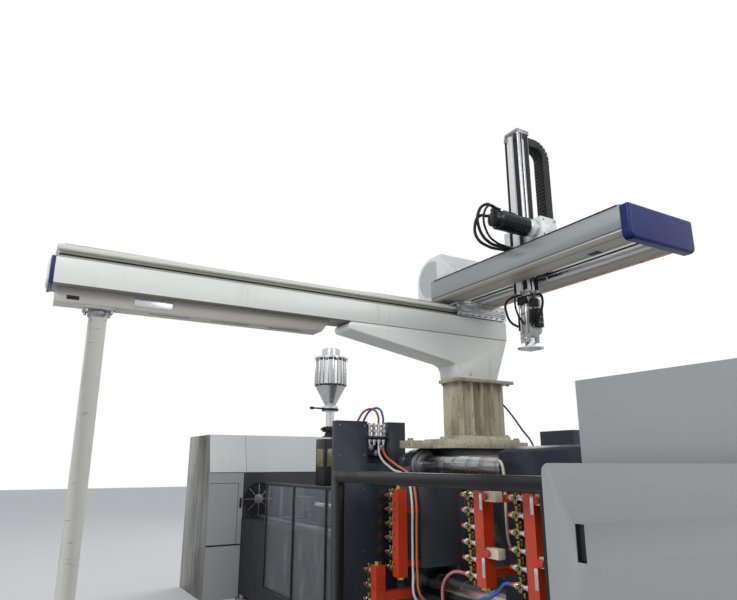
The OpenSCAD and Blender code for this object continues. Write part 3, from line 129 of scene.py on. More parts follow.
class Shade:
    """A finish under construction: a material with one Principled shader, kept under its name."""

    def __init__(self, name, color=(0.5, 0.5, 0.5), metallic=0.0, roughness=0.4, **extra):
        self.mat = FINISH[name] = bpy.data.materials.new(name)
        self.mat.use_nodes = True
        self.tree = self.mat.node_tree
        self.skin = self.tree.nodes["Principled BSDF"]
        self.put("Base Color", (*color, 1))
        self.put("Metallic", metallic)
        self.put("Roughness", roughness)
        for key, value in extra.items():
            self.put(key.replace("_", " ").title().replace("Ior", "IOR"), value)
        self.place = self.add("ShaderNodeTexCoord", None, {}, "Object")

    def put(self, socket, value):
        target = self.skin.inputs[socket]
        if isinstance(value, Val):
            self.tree.links.new(value.socket, target)
        else:
            target.default_value = value

    def base(self):
        """The value that feeds the base colour so far."""
        return Val(self, self.skin.inputs["Base Color"].links[0].from_socket)

    def add(self, kind, settings=None, inputs=None, out=0):
        node = self.tree.nodes.new(kind)
        for key, value in (settings or {}).items():
            setattr(node, key, value)
        for key, value in (inputs or {}).items():
            if isinstance(value, Val):
                self.tree.links.new(value.socket, node.inputs[key])
            else:
                node.inputs[key].default_value = value
        return Val(self, node.outputs[out])

    def axis(self, name):
        return self.add("ShaderNodeSeparateXYZ", None, {0: self.place}, name)

    def noise(self, scale, stretch=(1, 1, 1), detail=3.0, rough=0.55):
        spot = self.add("ShaderNodeMapping", None, {"Vector": self.place, "Scale": stretch})
        return self.add("ShaderNodeTexNoise", None,
                        {"Vector": spot, "Scale": scale, "Detail": detail, "Roughness": rough})

    def ramp(self, value, low, high, bottom=0.0, top=1.0):
        return self.add("ShaderNodeMapRange", {"interpolation_type": "SMOOTHSTEP"},
                        {0: value, 1: low, 2: high, 3: bottom, 4: top})

    def mix(self, factor, a, b):
        pair = [(*c, 1) if isinstance(c, tuple) and len(c) == 3 else c for c in (a, b)]
        return self.add("ShaderNodeMix", {"data_type": "RGBA"}, {0: factor, 6: pair[0], 7: pair[1]}, 2)

    def bump(self, height, strength=0.2, distance=0.001):
        self.put("Normal", self.add("ShaderNodeBump", None,
                                    {"Height": height, "Strength": strength, "Distance": distance}))


def darker(color, k):
    return tuple(c * k for c in color)


def painted(name, color, rough=0.38, dirt=0.35, soil=(0.20, 0.17, 0.12), scuffs=0.25, peel=0.06, **extra):
    """Enamel with clouds of grime, fine scuffs along it and a faint orange peel."""
    s = Shade(name, color, 0.0, rough, **extra)
    cloud = s.ramp(s.noise(2.3, (1, 1, 0.6), 5), 0.45, 0.72)
    run = s.ramp(s.noise(14, (1, 1, 0.09), 4), 0.52, 0.72)
    scuff = s.ramp(s.noise(60, (0.12, 0.12, 1), 5, 0.7), 0.60, 0.68)
    base = s.mix(s.noise(0.9, (1, 1, 1), 2) * 0.5, color, darker(color, 0.86))
    base = s.mix((cloud * run) * dirt, base, soil)
    s.put("Base Color", s.mix(scuff * scuffs, base, darker(color, 0.55)))
    s.put("Roughness", s.ramp(cloud + scuff * 0.5, 0, 1, rough, min(rough + 0.22, 0.9)))
    s.bump(s.noise(260, detail=1.0) + scuff * -0.5, peel, 0.0006)
    return s


def brushed(name, color=(0.56, 0.57, 0.58), grain=(0.015, 1, 1), rough=0.3, metallic=1.0, tint=0.25, **extra):
    """Metal with fine lines along its length and soft darker bands."""
    s = Shade(name, color, metallic, rough, **extra)
    lines = s.noise(420, grain, 3, 0.6)
    band = s.noise(9, grain, 3)
    s.put("Base Color",
          s.mix(s.ramp(lines * 0.6 + band * 0.6, 0.35, 0.85) * tint * 2, color, darker(color, 0.55)))
    s.put("Roughness", s.ramp(lines, 0.3, 0.7, rough * 0.8, rough * 1.35))
    s.bump(lines, 0.08, 0.0004)
    return s


def castlike(name, color, rough=0.55, metallic=0.0, coarse=90, strength=0.35):
    """Cast or heavily painted iron: pitted, with darker oily patches."""
    s = Shade(name, color, metallic, rough)
    pits = s.noise(coarse, detail=5, rough=0.65)
    oil = s.ramp(s.noise(3.1, detail=4), 0.48, 0.7)
    s.put("Base Color", s.mix(oil * 0.5, s.mix(pits, darker(color, 0.78), color), darker(color, 0.45)))
    s.put("Roughness", s.ramp(oil, 0, 1, rough, rough * 0.6))
    s.bump(pits, strength, 0.002)


def moulded(name, color, rough=0.35, grain=900, strength=0.12, **extra):
    """Moulded plastic or rubber with a fine grain and a little dust."""
    s = Shade(name, color, 0.0, rough, **extra)
    dust = s.ramp(s.noise(6, detail=4), 0.5, 0.75)
    s.put("Base Color", s.mix(dust * 0.3, color, tuple(c * 0.8 + 0.025 for c in color)))
    s.put("Roughness", s.ramp(dust, 0, 1, rough, min(1.0, rough + 0.2)))
    s.bump(s.noise(grain, detail=1.0), strength, 0.0003)


def beam_paint():
    """White paint of the beam: painted shade on the groove face under the lip, cream top strip and a dark
    seam over the casting.
    """
    s = painted("beam_white", (0.78, 0.78, 0.75), 0.33, 0.30, scuffs=0.12)
    z = s.axis("Z")
    # The groove face under the overhanging lip is painted a darker grey: painted shade.
    groove_shade = (z > 2.812) * (z < 2.859)
    lip = z > 2.860
    seam = (z > 2.6485) * (z < 2.6525)
    color = s.mix(groove_shade, s.base(), (0.38, 0.37, 0.34))
    color = s.mix(lip, color, (0.68, 0.67, 0.62))
    s.put("Base Color", s.mix(seam * 0.85, color, (0.10, 0.09, 0.08)))


def frame_metal():
    """Satin extrusion of the cross frame: cream lower edge, pale slot and a dark line near its foot."""
    s = brushed("cross_frame_metal", (0.36, 0.37, 0.38), (0.01, 1, 1), 0.42, 0.55, 0.12)
    z, y = s.axis("Z"), s.axis("Y")
    low = z < 2.9365
    slot = (y > 0.767) * (y < 0.956)
    color = s.mix(low, s.base(), (0.50, 0.47, 0.40))
    color = s.mix((z > 2.9495) * (z < 2.9585), color, (0.16, 0.16, 0.17))
    s.put("Base Color", s.mix(slot * (1 - low), color, (0.80, 0.80, 0.78)))
    s.put("Metallic", (1 - low) * (1 - slot) * 0.55)


def enclosure_skin():
    """Sheet of the power enclosure: pale slope, grey door, dark bay beside it and a metal side with painted
    sheen in light and dark bands.
    """
    s = painted("enclosure_skin", (0.66, 0.67, 0.66), 0.4, 0.12, scuffs=0.05)
    x, y, z = s.axis("X"), s.axis("Y"), s.axis("Z")
    side = y < -0.0295
    face = (x > -3.628) * (z < 1.515)
    door = face * (y < 0.4295)
    bay = face * (y > 0.4295)
    color = s.mix(door, s.base(), (0.30, 0.31, 0.31))
    color = s.mix(bay, color, (0.012, 0.014, 0.024))
    # Light and dark vertical bands on the metal side are painted sheen, standing for reflections.
    painted_sheen_bands = s.ramp(s.noise(1.6, (1, 1, 0.22), 3), 0.35, 0.66)
    s.put("Base Color", s.mix(side, color, s.mix(painted_sheen_bands, (0.07, 0.07, 0.07), (0.34, 0.33, 0.31))))
    s.put("Metallic", side * 0.75)


def chrome_bar():
    """Hard chrome with oily streaks round and along it."""
    s = Shade("chrome_bar", (0.50, 0.51, 0.53), 1.0, 0.26)
    streak = s.ramp(s.noise(16, (0.06, 1, 1), 4), 0.42, 0.62)
    smear = s.ramp(s.noise(5, (2.5, 0.4, 0.4), 4), 0.5, 0.66)
    line = s.ramp(s.noise(34, (0.01, 1, 1), 3), 0.40, 0.62)
    s.put("Base Color",
          s.mix(streak * 0.5 + smear * 0.2 + line * 0.3, (0.60, 0.61, 0.62), (0.09, 0.09, 0.09)))
    s.put("Roughness", s.ramp(smear, 0, 1, 0.22, 0.40))
    s.bump(s.noise(300, (0.02, 1, 1), 2), 0.03, 0.0003)


def stand_paint():
    """Worn beige paint of the stand, stained in long vertical streaks and speckled on the thick plate."""
    s = Shade("stand_beige", (0.50, 0.46, 0.36), 0.0, 0.5, specular_ior_level=0.3)
    z = s.axis("Z")
    stain = s.ramp(s.noise(7, (1, 1, 0.25), 6, 0.65), 0.44, 0.66)
    speck = s.ramp(s.noise(75, detail=4, rough=0.7), 0.55, 0.66) * (z < 1.93)
    rust = s.ramp(s.noise(24, (1, 1, 0.5), 5, 0.7), 0.60, 0.68)
    color = s.mix(stain, (0.50, 0.465, 0.345), (0.31, 0.28, 0.19))
    color = s.mix(rust * 0.7, color, (0.13, 0.08, 0.035))
    s.put("Base Color", s.mix(speck * 0.8, color, (0.16, 0.12, 0.07)))
    s.put("Roughness", s.ramp(stain, 0, 1, 0.38, 0.7))
    s.bump(stain * 0.4 + speck * 0.6 + s.noise(300, detail=1.0) * 0.2, 0.25, 0.001)


def window_pane():
    """Clear sheet with a smear of dust."""
    s = Shade("pane", (0.42, 0.45, 0.47), 0.0, 0.08, alpha=0.20, ior=1.45)
    smear = s.ramp(s.noise(5, (1, 1, 0.3), 5), 0.5, 0.7)
    s.put("Alpha", s.ramp(smear, 0, 1, 0.14, 0.26))
    s.put("Roughness", s.ramp(smear, 0, 1, 0.05, 0.3))


def make_finishes(looks):
    """All finishes of the machine. A paint or plastic that is nearly black gets a weaker gloss."""
    beam_paint()
    enclosure_skin()
    stand_paint()
    chrome_bar()
    frame_metal()
    window_pane()
    painted("robot_white", tuple(looks.robot_white), 0.28, 0.22, scuffs=0.08)
    painted("gloss_white", (0.80, 0.80, 0.79), 0.16, 0.12, scuffs=0.05, coat_weight=0.3)
    painted("cover_grey", tuple(looks.cover_grey), 0.42, 0.18, (0.20, 0.19, 0.17), 0.05)
    # Grey-cream of the cable tray: partly its light paint and stains, partly painted shade under the beam.
    painted("tray_paint_and_shade", (0.52, 0.50, 0.45), 0.4, 0.35, (0.24, 0.21, 0.16), 0.15)
    painted("post_paint", (0.58, 0.57, 0.52), 0.45, 1.0, (0.17, 0.14, 0.10), 1.0)
    painted("inset_grey", (0.50, 0.51, 0.51), 0.35, 0.1, scuffs=0.05)
    painted("bed_grey", (0.34, 0.36, 0.38), 0.5, 0.5, (0.10, 0.09, 0.07))
    for name, color, rough, dirt, soil, scuffs, gloss in (
        # Near-black of the injection bed: partly its dark paint, partly painted shade on its side.
        ("bed_paint_and_shade", (0.020, 0.022, 0.027), 0.5, 0.4, (0.06, 0.055, 0.045), 0.25, 0.2),
        ("dark_slate", (0.038, 0.044, 0.060), 0.42, 0.25, (0.10, 0.09, 0.08), 0.18, 0.25),
        ("navy_iron", (0.014, 0.018, 0.032), 0.36, 0.3, (0.06, 0.055, 0.05), 0.2, 0.25),
        ("frame_black", (0.008, 0.008, 0.009), 0.36, 0.25, (0.06, 0.055, 0.05), 0.25, 0.25),
    ):
        painted(name, color, rough, dirt, soil, scuffs, specular_ior_level=gloss)
    # Near-black of the platens and clamp cylinder: partly their dark paint, partly painted shade of the space
    # behind the manifolds.
    castlike("platen_iron_and_shade", (0.040, 0.044, 0.052), 0.45, 0.2)
    castlike("orange_iron", tuple(looks.manifold_orange), 0.34, 0.0, 120, 0.12)
    castlike("dull_steel", (0.30, 0.30, 0.31), 0.42, 0.9, 160, 0.15)
    for name, color, grain, rough in (
        ("bright_steel", (0.62, 0.62, 0.63), (1, 1, 0.05), 0.24),
        ("rail_steel", (0.50, 0.51, 0.53), (0.02, 1, 1), 0.2),
        ("profile_metal", (0.58, 0.59, 0.61), (1, 1, 0.012), 0.3),
        ("plate_metal", (0.55, 0.56, 0.57), (0.02, 1, 1), 0.32),
        ("olive_brass", (0.30, 0.23, 0.09), (1, 1, 0.2), 0.35),
        ("brass", (0.55, 0.40, 0.16), (1, 1, 0.2), 0.28),
        ("bronze", (0.42, 0.27, 0.12), (1, 1, 0.2), 0.35),
    ):
        brushed(name, color, grain, rough)
    for name, color, rough in (
        # Peach on the far lip stands for warm light falling on its underside: painted light.
        ("peach_warm_light", (0.70, 0.40, 0.30), 0.45), ("red_plastic", (0.55, 0.02, 0.015), 0.35),
        ("cream_plastic", (0.62, 0.56, 0.42), 0.45),
    ):
        moulded(name, color, rough)
    moulded("sight_glass", (0.16, 0.13, 0.055), 0.15, 500, 0.03)
    for name, color, rough in (
        ("hose_white", (0.72, 0.71, 0.68), 0.32), ("hose_orange", (0.62, 0.17, 0.07), 0.35),
        ("hose_red", (0.42, 0.06, 0.05), 0.35), ("hose_pink", (0.50, 0.13, 0.15), 0.35),
        ("hose_blue", (0.03, 0.10, 0.42), 0.35),
    ):
        moulded(name, color, rough, 300, 0.05)
    for name, color, rough, grain, strength, gloss in (
        ("cap_blue", tuple(looks.cap_blue), 0.28, 500, 0.04, 0.25),
        ("cap_navy", (0.010, 0.022, 0.11), 0.3, 500, 0.05, 0.3),
        ("black_plastic", (0.010, 0.010, 0.011), 0.42, 900, 0.12, 0.28),
        ("black_gloss", (0.006, 0.006, 0.008), 0.16, 700, 0.04, 0.3),
        ("black_rubber", (0.012, 0.012, 0.013), 0.6, 500, 0.2, 0.25),
    ):
        moulded(name, color, rough, grain, strength, specular_ior_level=gloss)


def clear():
    """Object mode with nothing selected."""
    if bpy.context.mode != "OBJECT":
        bpy.ops.object.mode_set(mode="OBJECT")
    bpy.ops.object.select_all(action="DESELECT")


def edit(pick=None):
    """Edit mode with all selected, or only the edges that pick(middle, direction) names."""
    obj = bpy.context.object
    bpy.ops.object.mode_set(mode="EDIT")
    bpy.ops.mesh.select_mode(type="EDGE")
    bpy.ops.mesh.select_all(action="SELECT" if pick is None else "DESELECT")
    if pick is not None:
        mesh = bmesh.from_edit_mesh(obj.data)
        for edge in mesh.edges:
            a, b = (v.co for v in edge.verts)
            if pick((a + b) / 2, (b - a).normalized()):
                edge.select_set(True)
        bmesh.update_edit_mesh(obj.data)


def brick(low, high, edge=0.0, segments=2):
    """A block between two corners in millimetres, with its edges rounded."""
    clear()
    a, b = at(*low), at(*high)
    bpy.ops.mesh.primitive_cube_add(size=1, location=(a + b) / 2, scale=b - a)
    bpy.ops.object.transform_apply(location=True, rotation=False, scale=True)
    if edge:
        edit()
        bpy.ops.mesh.bevel(offset=edge / 1000, segments=segments, affect="EDGES")
        bpy.ops.object.mode_set(mode="OBJECT")
    return bpy.context.object


def turned(base, axis, steps, sides=28):
    """A turned piece: a disc that is extruded and resized through (distance, radius) steps."""
    clear()
    bpy.ops.mesh.primitive_circle_add(vertices=sides, radius=steps[0][1] / 1000, fill_type="NGON",
                                      location=(0, 0, steps[0][0] / 1000))
    bpy.ops.object.transform_apply(location=True, rotation=False, scale=False)
    edit()
    for (za, ra), (zb, rb) in zip(steps, steps[1:]):
        bpy.ops.mesh.extrude_region_move(TRANSFORM_OT_translate={"value": (0, 0, (zb - za) / 1000)})
        if rb != ra:
            bpy.ops.transform.resize(value=(rb / ra, rb / ra, 1), center_override=(0, 0, zb / 1000))
    bpy.ops.mesh.select_all(action="SELECT")
    bpy.ops.mesh.remove_doubles(threshold=0.00001)
    bpy.ops.mesh.normals_make_consistent(inside=False)
    bpy.ops.object.mode_set(mode="OBJECT")
    obj = bpy.context.object
    turn = UP.rotation_difference(Vector(axis)).to_matrix().to_4x4()
    obj.data.transform(Matrix.Translation(at(*base)) @ turn)
    return obj


def hose(name, body, finish, points, radius, nodes=()):
    """A free hose or cable: a curve through points in millimetres."""
    clear()
    line = bpy.data.curves.new(name, "CURVE")
    line.dimensions = "3D"
    line.bevel_depth, line.bevel_resolution, line.resolution_u = radius / 1000, 3, 8
    line.use_fill_caps = True
    spline = line.splines.new("BEZIER")
    spline.bezier_points.add(len(points) - 1)
    for spot, p in zip(spline.bezier_points, points):
        spot.co = at(*p)
        spot.handle_left_type = spot.handle_right_type = "AUTO"
    line.materials.append(FINISH[finish])
    obj = bpy.data.objects.new(name, line)
    bpy.context.collection.objects.link(obj)
    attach(obj, body)
    if nodes:
        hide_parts(*nodes)


def joined(parts):
    """Several meshes as one piece."""
    clear()
    for part in parts:
        part.select_set(True)
    bpy.context.view_layer.objects.active = parts[0]
    if len(parts) > 1:
        bpy.ops.object.join()
    return bpy.context.object


def copies(part, moves, keep=False):
    """A copy of the part for each move in millimetres or matrix, joined. The part goes unless it is kept."""
    made = []
    for move in moves:
        twin = part.copy()
        twin.data = part.data.copy()
        bpy.context.collection.objects.link(twin)
        step = move if isinstance(move, Matrix) else Matrix.Translation(Vector(move) / 1000)
        twin.data.transform(step)
        made.append(twin)
    if not keep:
        bpy.data.objects.remove(part)
    return joined(made)


def settle(obj, name, body, slot, finish, angle=35, replaces=()):
    """Names a finished piece or joins a list of them, gives it its finish and makes it ride on its body."""
    obj = joined(obj if isinstance(obj, list) else [obj])
    obj.name = obj.data.name = name
    bpy.ops.object.transform_apply(location=True, rotation=True, scale=True)
    bpy.ops.object.shade_smooth_by_angle(angle=math.radians(angle))
    obj.data.materials.clear()
    obj.data.materials.append(FINISH[finish])
    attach(obj, body)
    if replaces:
        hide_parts(*replaces)
    return obj


BODY_OF = {node: body for body, nodes in frame["record"]["behaviour"]["bodies"].items() for node in nodes}
SLOT_OF = {s["node"]: s["material_slot"] for s in frame["record"]["subparts"]}
FINISH_OF = {node: finish for finish, nodes in {
    "bed_grey": ("clamp_bed",), "bed_paint_and_shade": ("injection_bed",), "enclosure_skin": ("power_enclosure",),
    "dull_steel": ("levelling_feet", "tie_bar_nuts", "ejector_cylinders", "nozzle"),
    "frame_black": ("guard_sills", "panel_bracket", "rear_guard_frame", "operator_guard_frame"),
    "rail_steel": ("slide_rails", "traverse_rails", "cross_rails"),
    "platen_iron_and_shade": ("stationary_platen", "cylinder_platen", "clamp_cylinder"),
    "chrome_bar": ("tie_bars", "clamp_ram", "pull_bars"),
    "navy_iron": ("moving_platen", "platen_top_cover"), "bronze": ("platen_shoes",),
    "bright_steel": ("ejector_plate", "barrel", "screw", "hopper", "hopper_lid", "heater_bands"),
    "orange_iron": ("fixed_manifolds", "moving_manifolds"),
    "hose_white": ("coupling_hoses",), "hose_pink": ("moving_hoses",),
    "dark_slate": ("throat_block", "drive_unit", "control_panel", "coupling_cabinet"),
    "cover_grey": ("purge_guard", "clamp_cover", "rear_gate", "operator_gate"),
    "tray_paint_and_shade": ("cable_tray",), "stand_beige": ("riser",), "post_paint": ("support_post",),
    "beam_white": ("base_casting", "traverse_beam"), "cap_navy": ("beam_end_cap",),
    "plate_metal": ("robot_saddle", "arm_carriage"), "cross_frame_metal": ("cross_frame",),
    "cap_blue": ("frame_end_cap",), "gloss_white": ("saddle_cover", "wrist_cover", "arm_gearbox"),
    "black_plastic": ("arm_motor", "cable_chain", "barrel_guard"),
    "profile_metal": ("arm_profile", "wrist_unit", "gripper_plate"),
}.items() for node in nodes}


def eased(node, width, segments):
    """A copy of a CAD node with its facets merged and its sharp edges rounded, standing for it."""
    clear()
    source = frame["nodes"][node]
    twin = source.copy()
    twin.data = source.data.copy()
    for key in list(twin.keys()):
        del twin[key]
    twin.parent = None
    twin.matrix_world = Matrix.Identity(4)
    bpy.context.collection.objects.link(twin)
    twin.hide_render = twin.hide_viewport = False
    twin.select_set(True)
    bpy.context.view_layer.objects.active = twin
    edit()
    bpy.ops.mesh.customdata_custom_splitnormals_clear()
    bpy.ops.mesh.remove_doubles(threshold=0.00002)
    bpy.ops.mesh.dissolve_limited(angle_limit=math.radians(1.5))
    bpy.ops.mesh.normals_make_consistent(inside=False)
    bpy.ops.object.mode_set(mode="OBJECT")
    soft = twin.modifiers.new("edge", "BEVEL")
    soft.width, soft.segments, soft.limit_method = width / 1000, segments, "ANGLE"
    soft.angle_limit, soft.harden_normals = math.radians(38), True
    bpy.ops.object.modifier_apply(modifier=soft.name)
    settle(twin, node + "_shell", BODY_OF[node], SLOT_OF[node], FINISH_OF[node], 40, (node,))


def bolt(base, axis, radius, height=None):
    """A socket-head bolt: a chamfered head with a recess."""
    h = height or radius * 0.9
    return turned(base, axis, [(0, radius), (h * 0.85, radius), (h, radius * 0.9), (h, radius * 0.5),
                               (h * 0.35, radius * 0.45)], 14)


def bolts(places, axis, radius, height=None):
    """Several bolts on one face, modelled once and copied."""
    first = places[0]
    moves = [(p[0] - first[0], p[1] - first[1], p[2] - first[2]) for p in places]
    return copies(bolt(first, axis, radius, height), moves)


class MachineLooks(bpy.types.PropertyGroup):
    """Colours and small sizes that a user would change."""

    robot_white: FloatVectorProperty(name="Robot white",
                                     description="Paint of the robot's casting and covers", subtype="COLOR",
                                     default=(0.76, 0.76, 0.74), min=0, max=1)
    cover_grey: FloatVectorProperty(name="Cover grey", description="Powder coat of the sheet covers",
                                    subtype="COLOR", default=(0.32, 0.33, 0.335), min=0, max=1)
    cap_blue: FloatVectorProperty(name="Cap blue", description="Plastic of the cross frame's end cap",
                                  subtype="COLOR", default=(0.004, 0.016, 0.120), min=0, max=1)
    manifold_orange: FloatVectorProperty(name="Manifold orange", description="Paint of the water manifolds",
                                         subtype="COLOR", default=(0.60, 0.050, 0.012), min=0, max=1)
    link_pitch: FloatProperty(name="Link pitch", description="Length of one link of the cable chain",
                              unit="LENGTH", default=0.030, min=0.02, max=0.06)
    edge_width: FloatProperty(name="Edge width", description="Rounding of the sheet covers' edges",
                              unit="LENGTH", default=0.006, min=0.001, max=0.01)
    outlets: IntProperty(name="Outlets", description="Outlets of each tall manifold", default=6, min=4, max=6)


class MACHINE_OT_finishes(bpy.types.Operator):
    """Makes the finishes and gives each node of the frame its own"""

    bl_idname = "machine.finishes"
    bl_label = "Finishes"

    def execute(self, context):
        make_finishes(context.scene.machine_looks)
        for node, finish in FINISH_OF.items():
            for slot in frame["nodes"][node].material_slots:
                slot.material = FINISH[finish]
        return {"FINISHED"}


class MACHINE_OT_edges(bpy.types.Operator):
    """Rounds the edges of sheet covers, castings and profiles"""

    bl_idname = "machine.edges"
    bl_label = "Rounded edges"

    def execute(self, context):
        w = context.scene.machine_looks.edge_width * 1000
        for width, segments, nodes in (
            (1.5, 2, ("robot_saddle", "arm_profile", "gripper_plate")),
            (2, 2, ("purge_guard", "wrist_unit")),
            (3, 2, ("riser", "support_post", "cross_frame", "rear_gate", "operator_gate", "coupling_cabinet",
                    "cable_tray", "levelling_feet")),
            (4, 2, ("traverse_beam", "arm_gearbox", "platen_top_cover")),
            (5, 2, ("moving_platen", "stationary_platen", "cylinder_platen", "throat_block", "drive_unit",
                    "tie_bar_nuts")),
            (6, 2, ("clamp_cylinder",)), (9, 3, ("base_casting",)), (14, 4, ("saddle_cover",)),
            (w, 2, ("rear_guard_frame", "operator_guard_frame", "injection_bed", "clamp_bed", "guard_sills")),
            (w * 1.6, 3, ("clamp_cover", "power_enclosure")),
        ):
            for node in nodes:
                eased(node, width, segments)
        return {"FINISHED"}


class MACHINE_OT_beam(bpy.types.Operator):
    """End plate and bulge of the traverse beam, and the fittings under it"""

    bl_idname = "machine.beam"
    bl_label = "Traverse beam"

    def execute(self, context):
        settle(brick((-244, -3187, 2644), (4, -3164, 2814), 9, 3), "beam_end_plate", "machine", "end_navy",
               "cap_navy", replaces=("beam_end_cap",))
        settle(brick((-222, -3199, 2664), (-18, -3170, 2798), 11, 6), "beam_end_bulge", "machine", *WHITE, 60)
        settle(bolts([(x, y, 2650) for x in (-30, -210) for y in (-1150, -1000, -850, -250, -100, 60, 200)],
                     (0, 0, -1), 8), "casting_bolts", "machine", *DULL)
        settle([brick((-222, -2975, 2538), (-78, -2805, 2548), 3),
                turned((-150, -2890, 2502), (0, 0, 1), [(0, 58), (10, 62), (30, 62), (36, 80)])],
               "post_clamp", "machine", *DULL)
        settle(bolts([(x, y, 2538) for x in (-208, -92) for y in (-2960, -2820)], (0, 0, -1), 9, 16),
               "post_clamp_bolts", "machine", *BRIGHT)
        # A thin black block stands for the dark opening of the tray's end slot: painted shade.
        settle(brick((-74, -3080, 2577), (-69, -3010, 2603), 2.4, 3), "tray_slot", "machine", *BLACK)
        settle(brick((-70.5, -2700, 2580), (-67, -2470, 2640), 1), "tray_plate", "machine", *BRIGHT)
        settle([brick((-150, y, 2559), (-120, y + 260, 2561.5), 0.8) for y in (-2600, -2200, -1800)],
               "tray_slots", "machine", *DULL)
        settle(brick((-26.5, -3150, 2829), (-23.5, 300, 2840), 0.5), "beam_belt", "machine", *RUBBER)
        return {"FINISHED"}


class MACHINE_OT_saddle(bpy.types.Operator):
    """Saddle fittings: rail blocks, bolt heads and the inset of the round cover"""

    bl_idname = "machine.saddle"
    bl_label = "Saddle"

    def execute(self, context):
        clear()
        bpy.ops.mesh.primitive_circle_add(vertices=64, radius=0.160, fill_type="NGON")
        edit()
        bpy.ops.mesh.extrude_region_move(TRANSFORM_OT_translate={"value": (0, 0, 0.003)})
        bpy.ops.mesh.select_all(action="SELECT")
        bpy.ops.mesh.normals_make_consistent(inside=False)
        for normal, spot in (((1, 0, 0), (0.085, 0, 0)), ((0, -1, 0), (0, -0.15, 0))):
            bpy.ops.mesh.select_all(action="SELECT")
            bpy.ops.mesh.bisect(plane_co=spot, plane_no=normal, use_fill=True, clear_outer=True)
        bpy.ops.mesh.select_all(action="SELECT")
        bpy.ops.mesh.bevel(offset=0.001, segments=1, affect="EDGES")
        bpy.ops.object.mode_set(mode="OBJECT")
        inset = bpy.context.object
        inset.data.transform(Matrix.Translation(at(-200, -325, 3150))
                             @ Matrix.Rotation(math.radians(90), 4, "X"))
        settle(inset, "saddle_cover_inset", "robot_carriage", "grey_cover", "inset_grey")
        heads = [(16, -185 + 65 * k, z) for k in range(8) for z in (2829, 2895)]
        settle(bolts(heads, (1, 0, 0), 5.5), "saddle_bolts", "robot_carriage", *DULL)
        settle([brick((x - 32, y, 2892), (x + 32, y + 90, 2912), 3) for x in (-60, -190)
                for y in (-200, 190)], "saddle_rail_blocks", "robot_carriage", "steel", "rail_steel")
        settle([brick((16, -218, 2868), (19, 303, 2876), 1), brick((16, -218, 2922), (20, 303, 2932), 1)],
               "saddle_strips", "robot_carriage", "aluminium", "bright_steel")
        return {"FINISHED"}


class MACHINE_OT_cross_frame(bpy.types.Operator):
    """Rounded end cap, belts and rails of the cross frame"""

    bl_idname = "machine.cross_frame"
    bl_label = "Cross frame"

    def execute(self, context):
        cap = brick((1720, -378, 2883), (1780, 238, 3102))
        edit(lambda m, d: abs(d.x) > 0.9 and m.z < 3.0)
        bpy.ops.mesh.bevel(offset=0.042, segments=6, affect="EDGES")
        edit(lambda m, d: abs(d.x) > 0.9 and m.z > 3.0)
        bpy.ops.mesh.bevel(offset=0.020, segments=5, affect="EDGES")
        edit(lambda m, d: m.x > at(1779, 0, 0).x)
        bpy.ops.mesh.bevel(offset=0.018, segments=5, affect="EDGES")
        settle(cap, "frame_end_cap_shell", "robot_carriage", "cap_blue", "cap_blue", 50, ("frame_end_cap",))
        settle([brick((-108, -147, 3000), (1688, -144, 3014), 1),
                brick((-108, 31, 2988), (1688, 34.5, 3000), 1)], "cross_belts", "robot_carriage", *RUBBER)
        settle([brick((-100, -152, 2955), (1690, -138, 2972), 1.5),
                brick((-100, 22, 2955), (1690, 36, 2975), 1.5)], "slot_rails", "robot_carriage", *BRIGHT)
        settle([brick((-100, y, 3098), (1700, y + 7, 3109), 2) for y in (-371, 224)], "frame_trims",
               "robot_carriage", *RUBBER)
        start, end, under = -138, 1716, 2936
        settle(brick((start, -366, under - 3), (end, -330, under), 1), "near_lip", "robot_carriage",
               "aluminium", "cream_plastic")
        # The far lip's peach is painted warm light on its underside.
        settle(brick((start, 186, under - 4.5), (end, 228, under), 1.5), "far_lip", "robot_carriage",
               "aluminium", "peach_warm_light")
        settle([brick((start, y, under - 2), (end, y + 4, under + 0.5), 0.5) for y in (-300, -180, 62, 150)],
               "frame_grooves", "robot_carriage", "black_plastic", "dull_steel")
        settle(brick((1335, -215, under - 4), (1415, -165, under + 1), 2), "sensor_slot", "robot_carriage",
               *BLACK)
        settle(bolts([(x, 205, under - 4) for x in (250, 960, 1430)], (0, 0, -1), 7, 6),
               "lip_plugs", "robot_carriage", *RED)
        plate = 2962
        settle([brick((520, -128, 2960), (558, 12, 3084), 5), brick((714, -132, plate), (796, 14, 3090), 6),
                brick((740, -110, plate - 16), (830, -40, plate + 2), 4),
                brick((796, -96, 3000), (836, 2, 3070), 4),
                turned((760, -20, plate), (0, 0, -1), [(0, 30), (14, 30), (16, 20), (24, 20)], 24)],
               "carriage_underside", "arm_carriage", *BLACK)
        bits = [turned((x, y, plate), (0, 0, -1), [(0, 9), (8, 9), (10, 6), (18, 6)], 12)
                for x in (728, 786) for y in (-118, 0)]
        bits += [brick((716, -100, plate - 7), (738, -30, plate + 1), 2),
                 brick((526, -100, plate - 10), (552, -20, plate), 2)]
        settle(bits, "carriage_fittings", "arm_carriage", *BRIGHT)
        return {"FINISHED"}


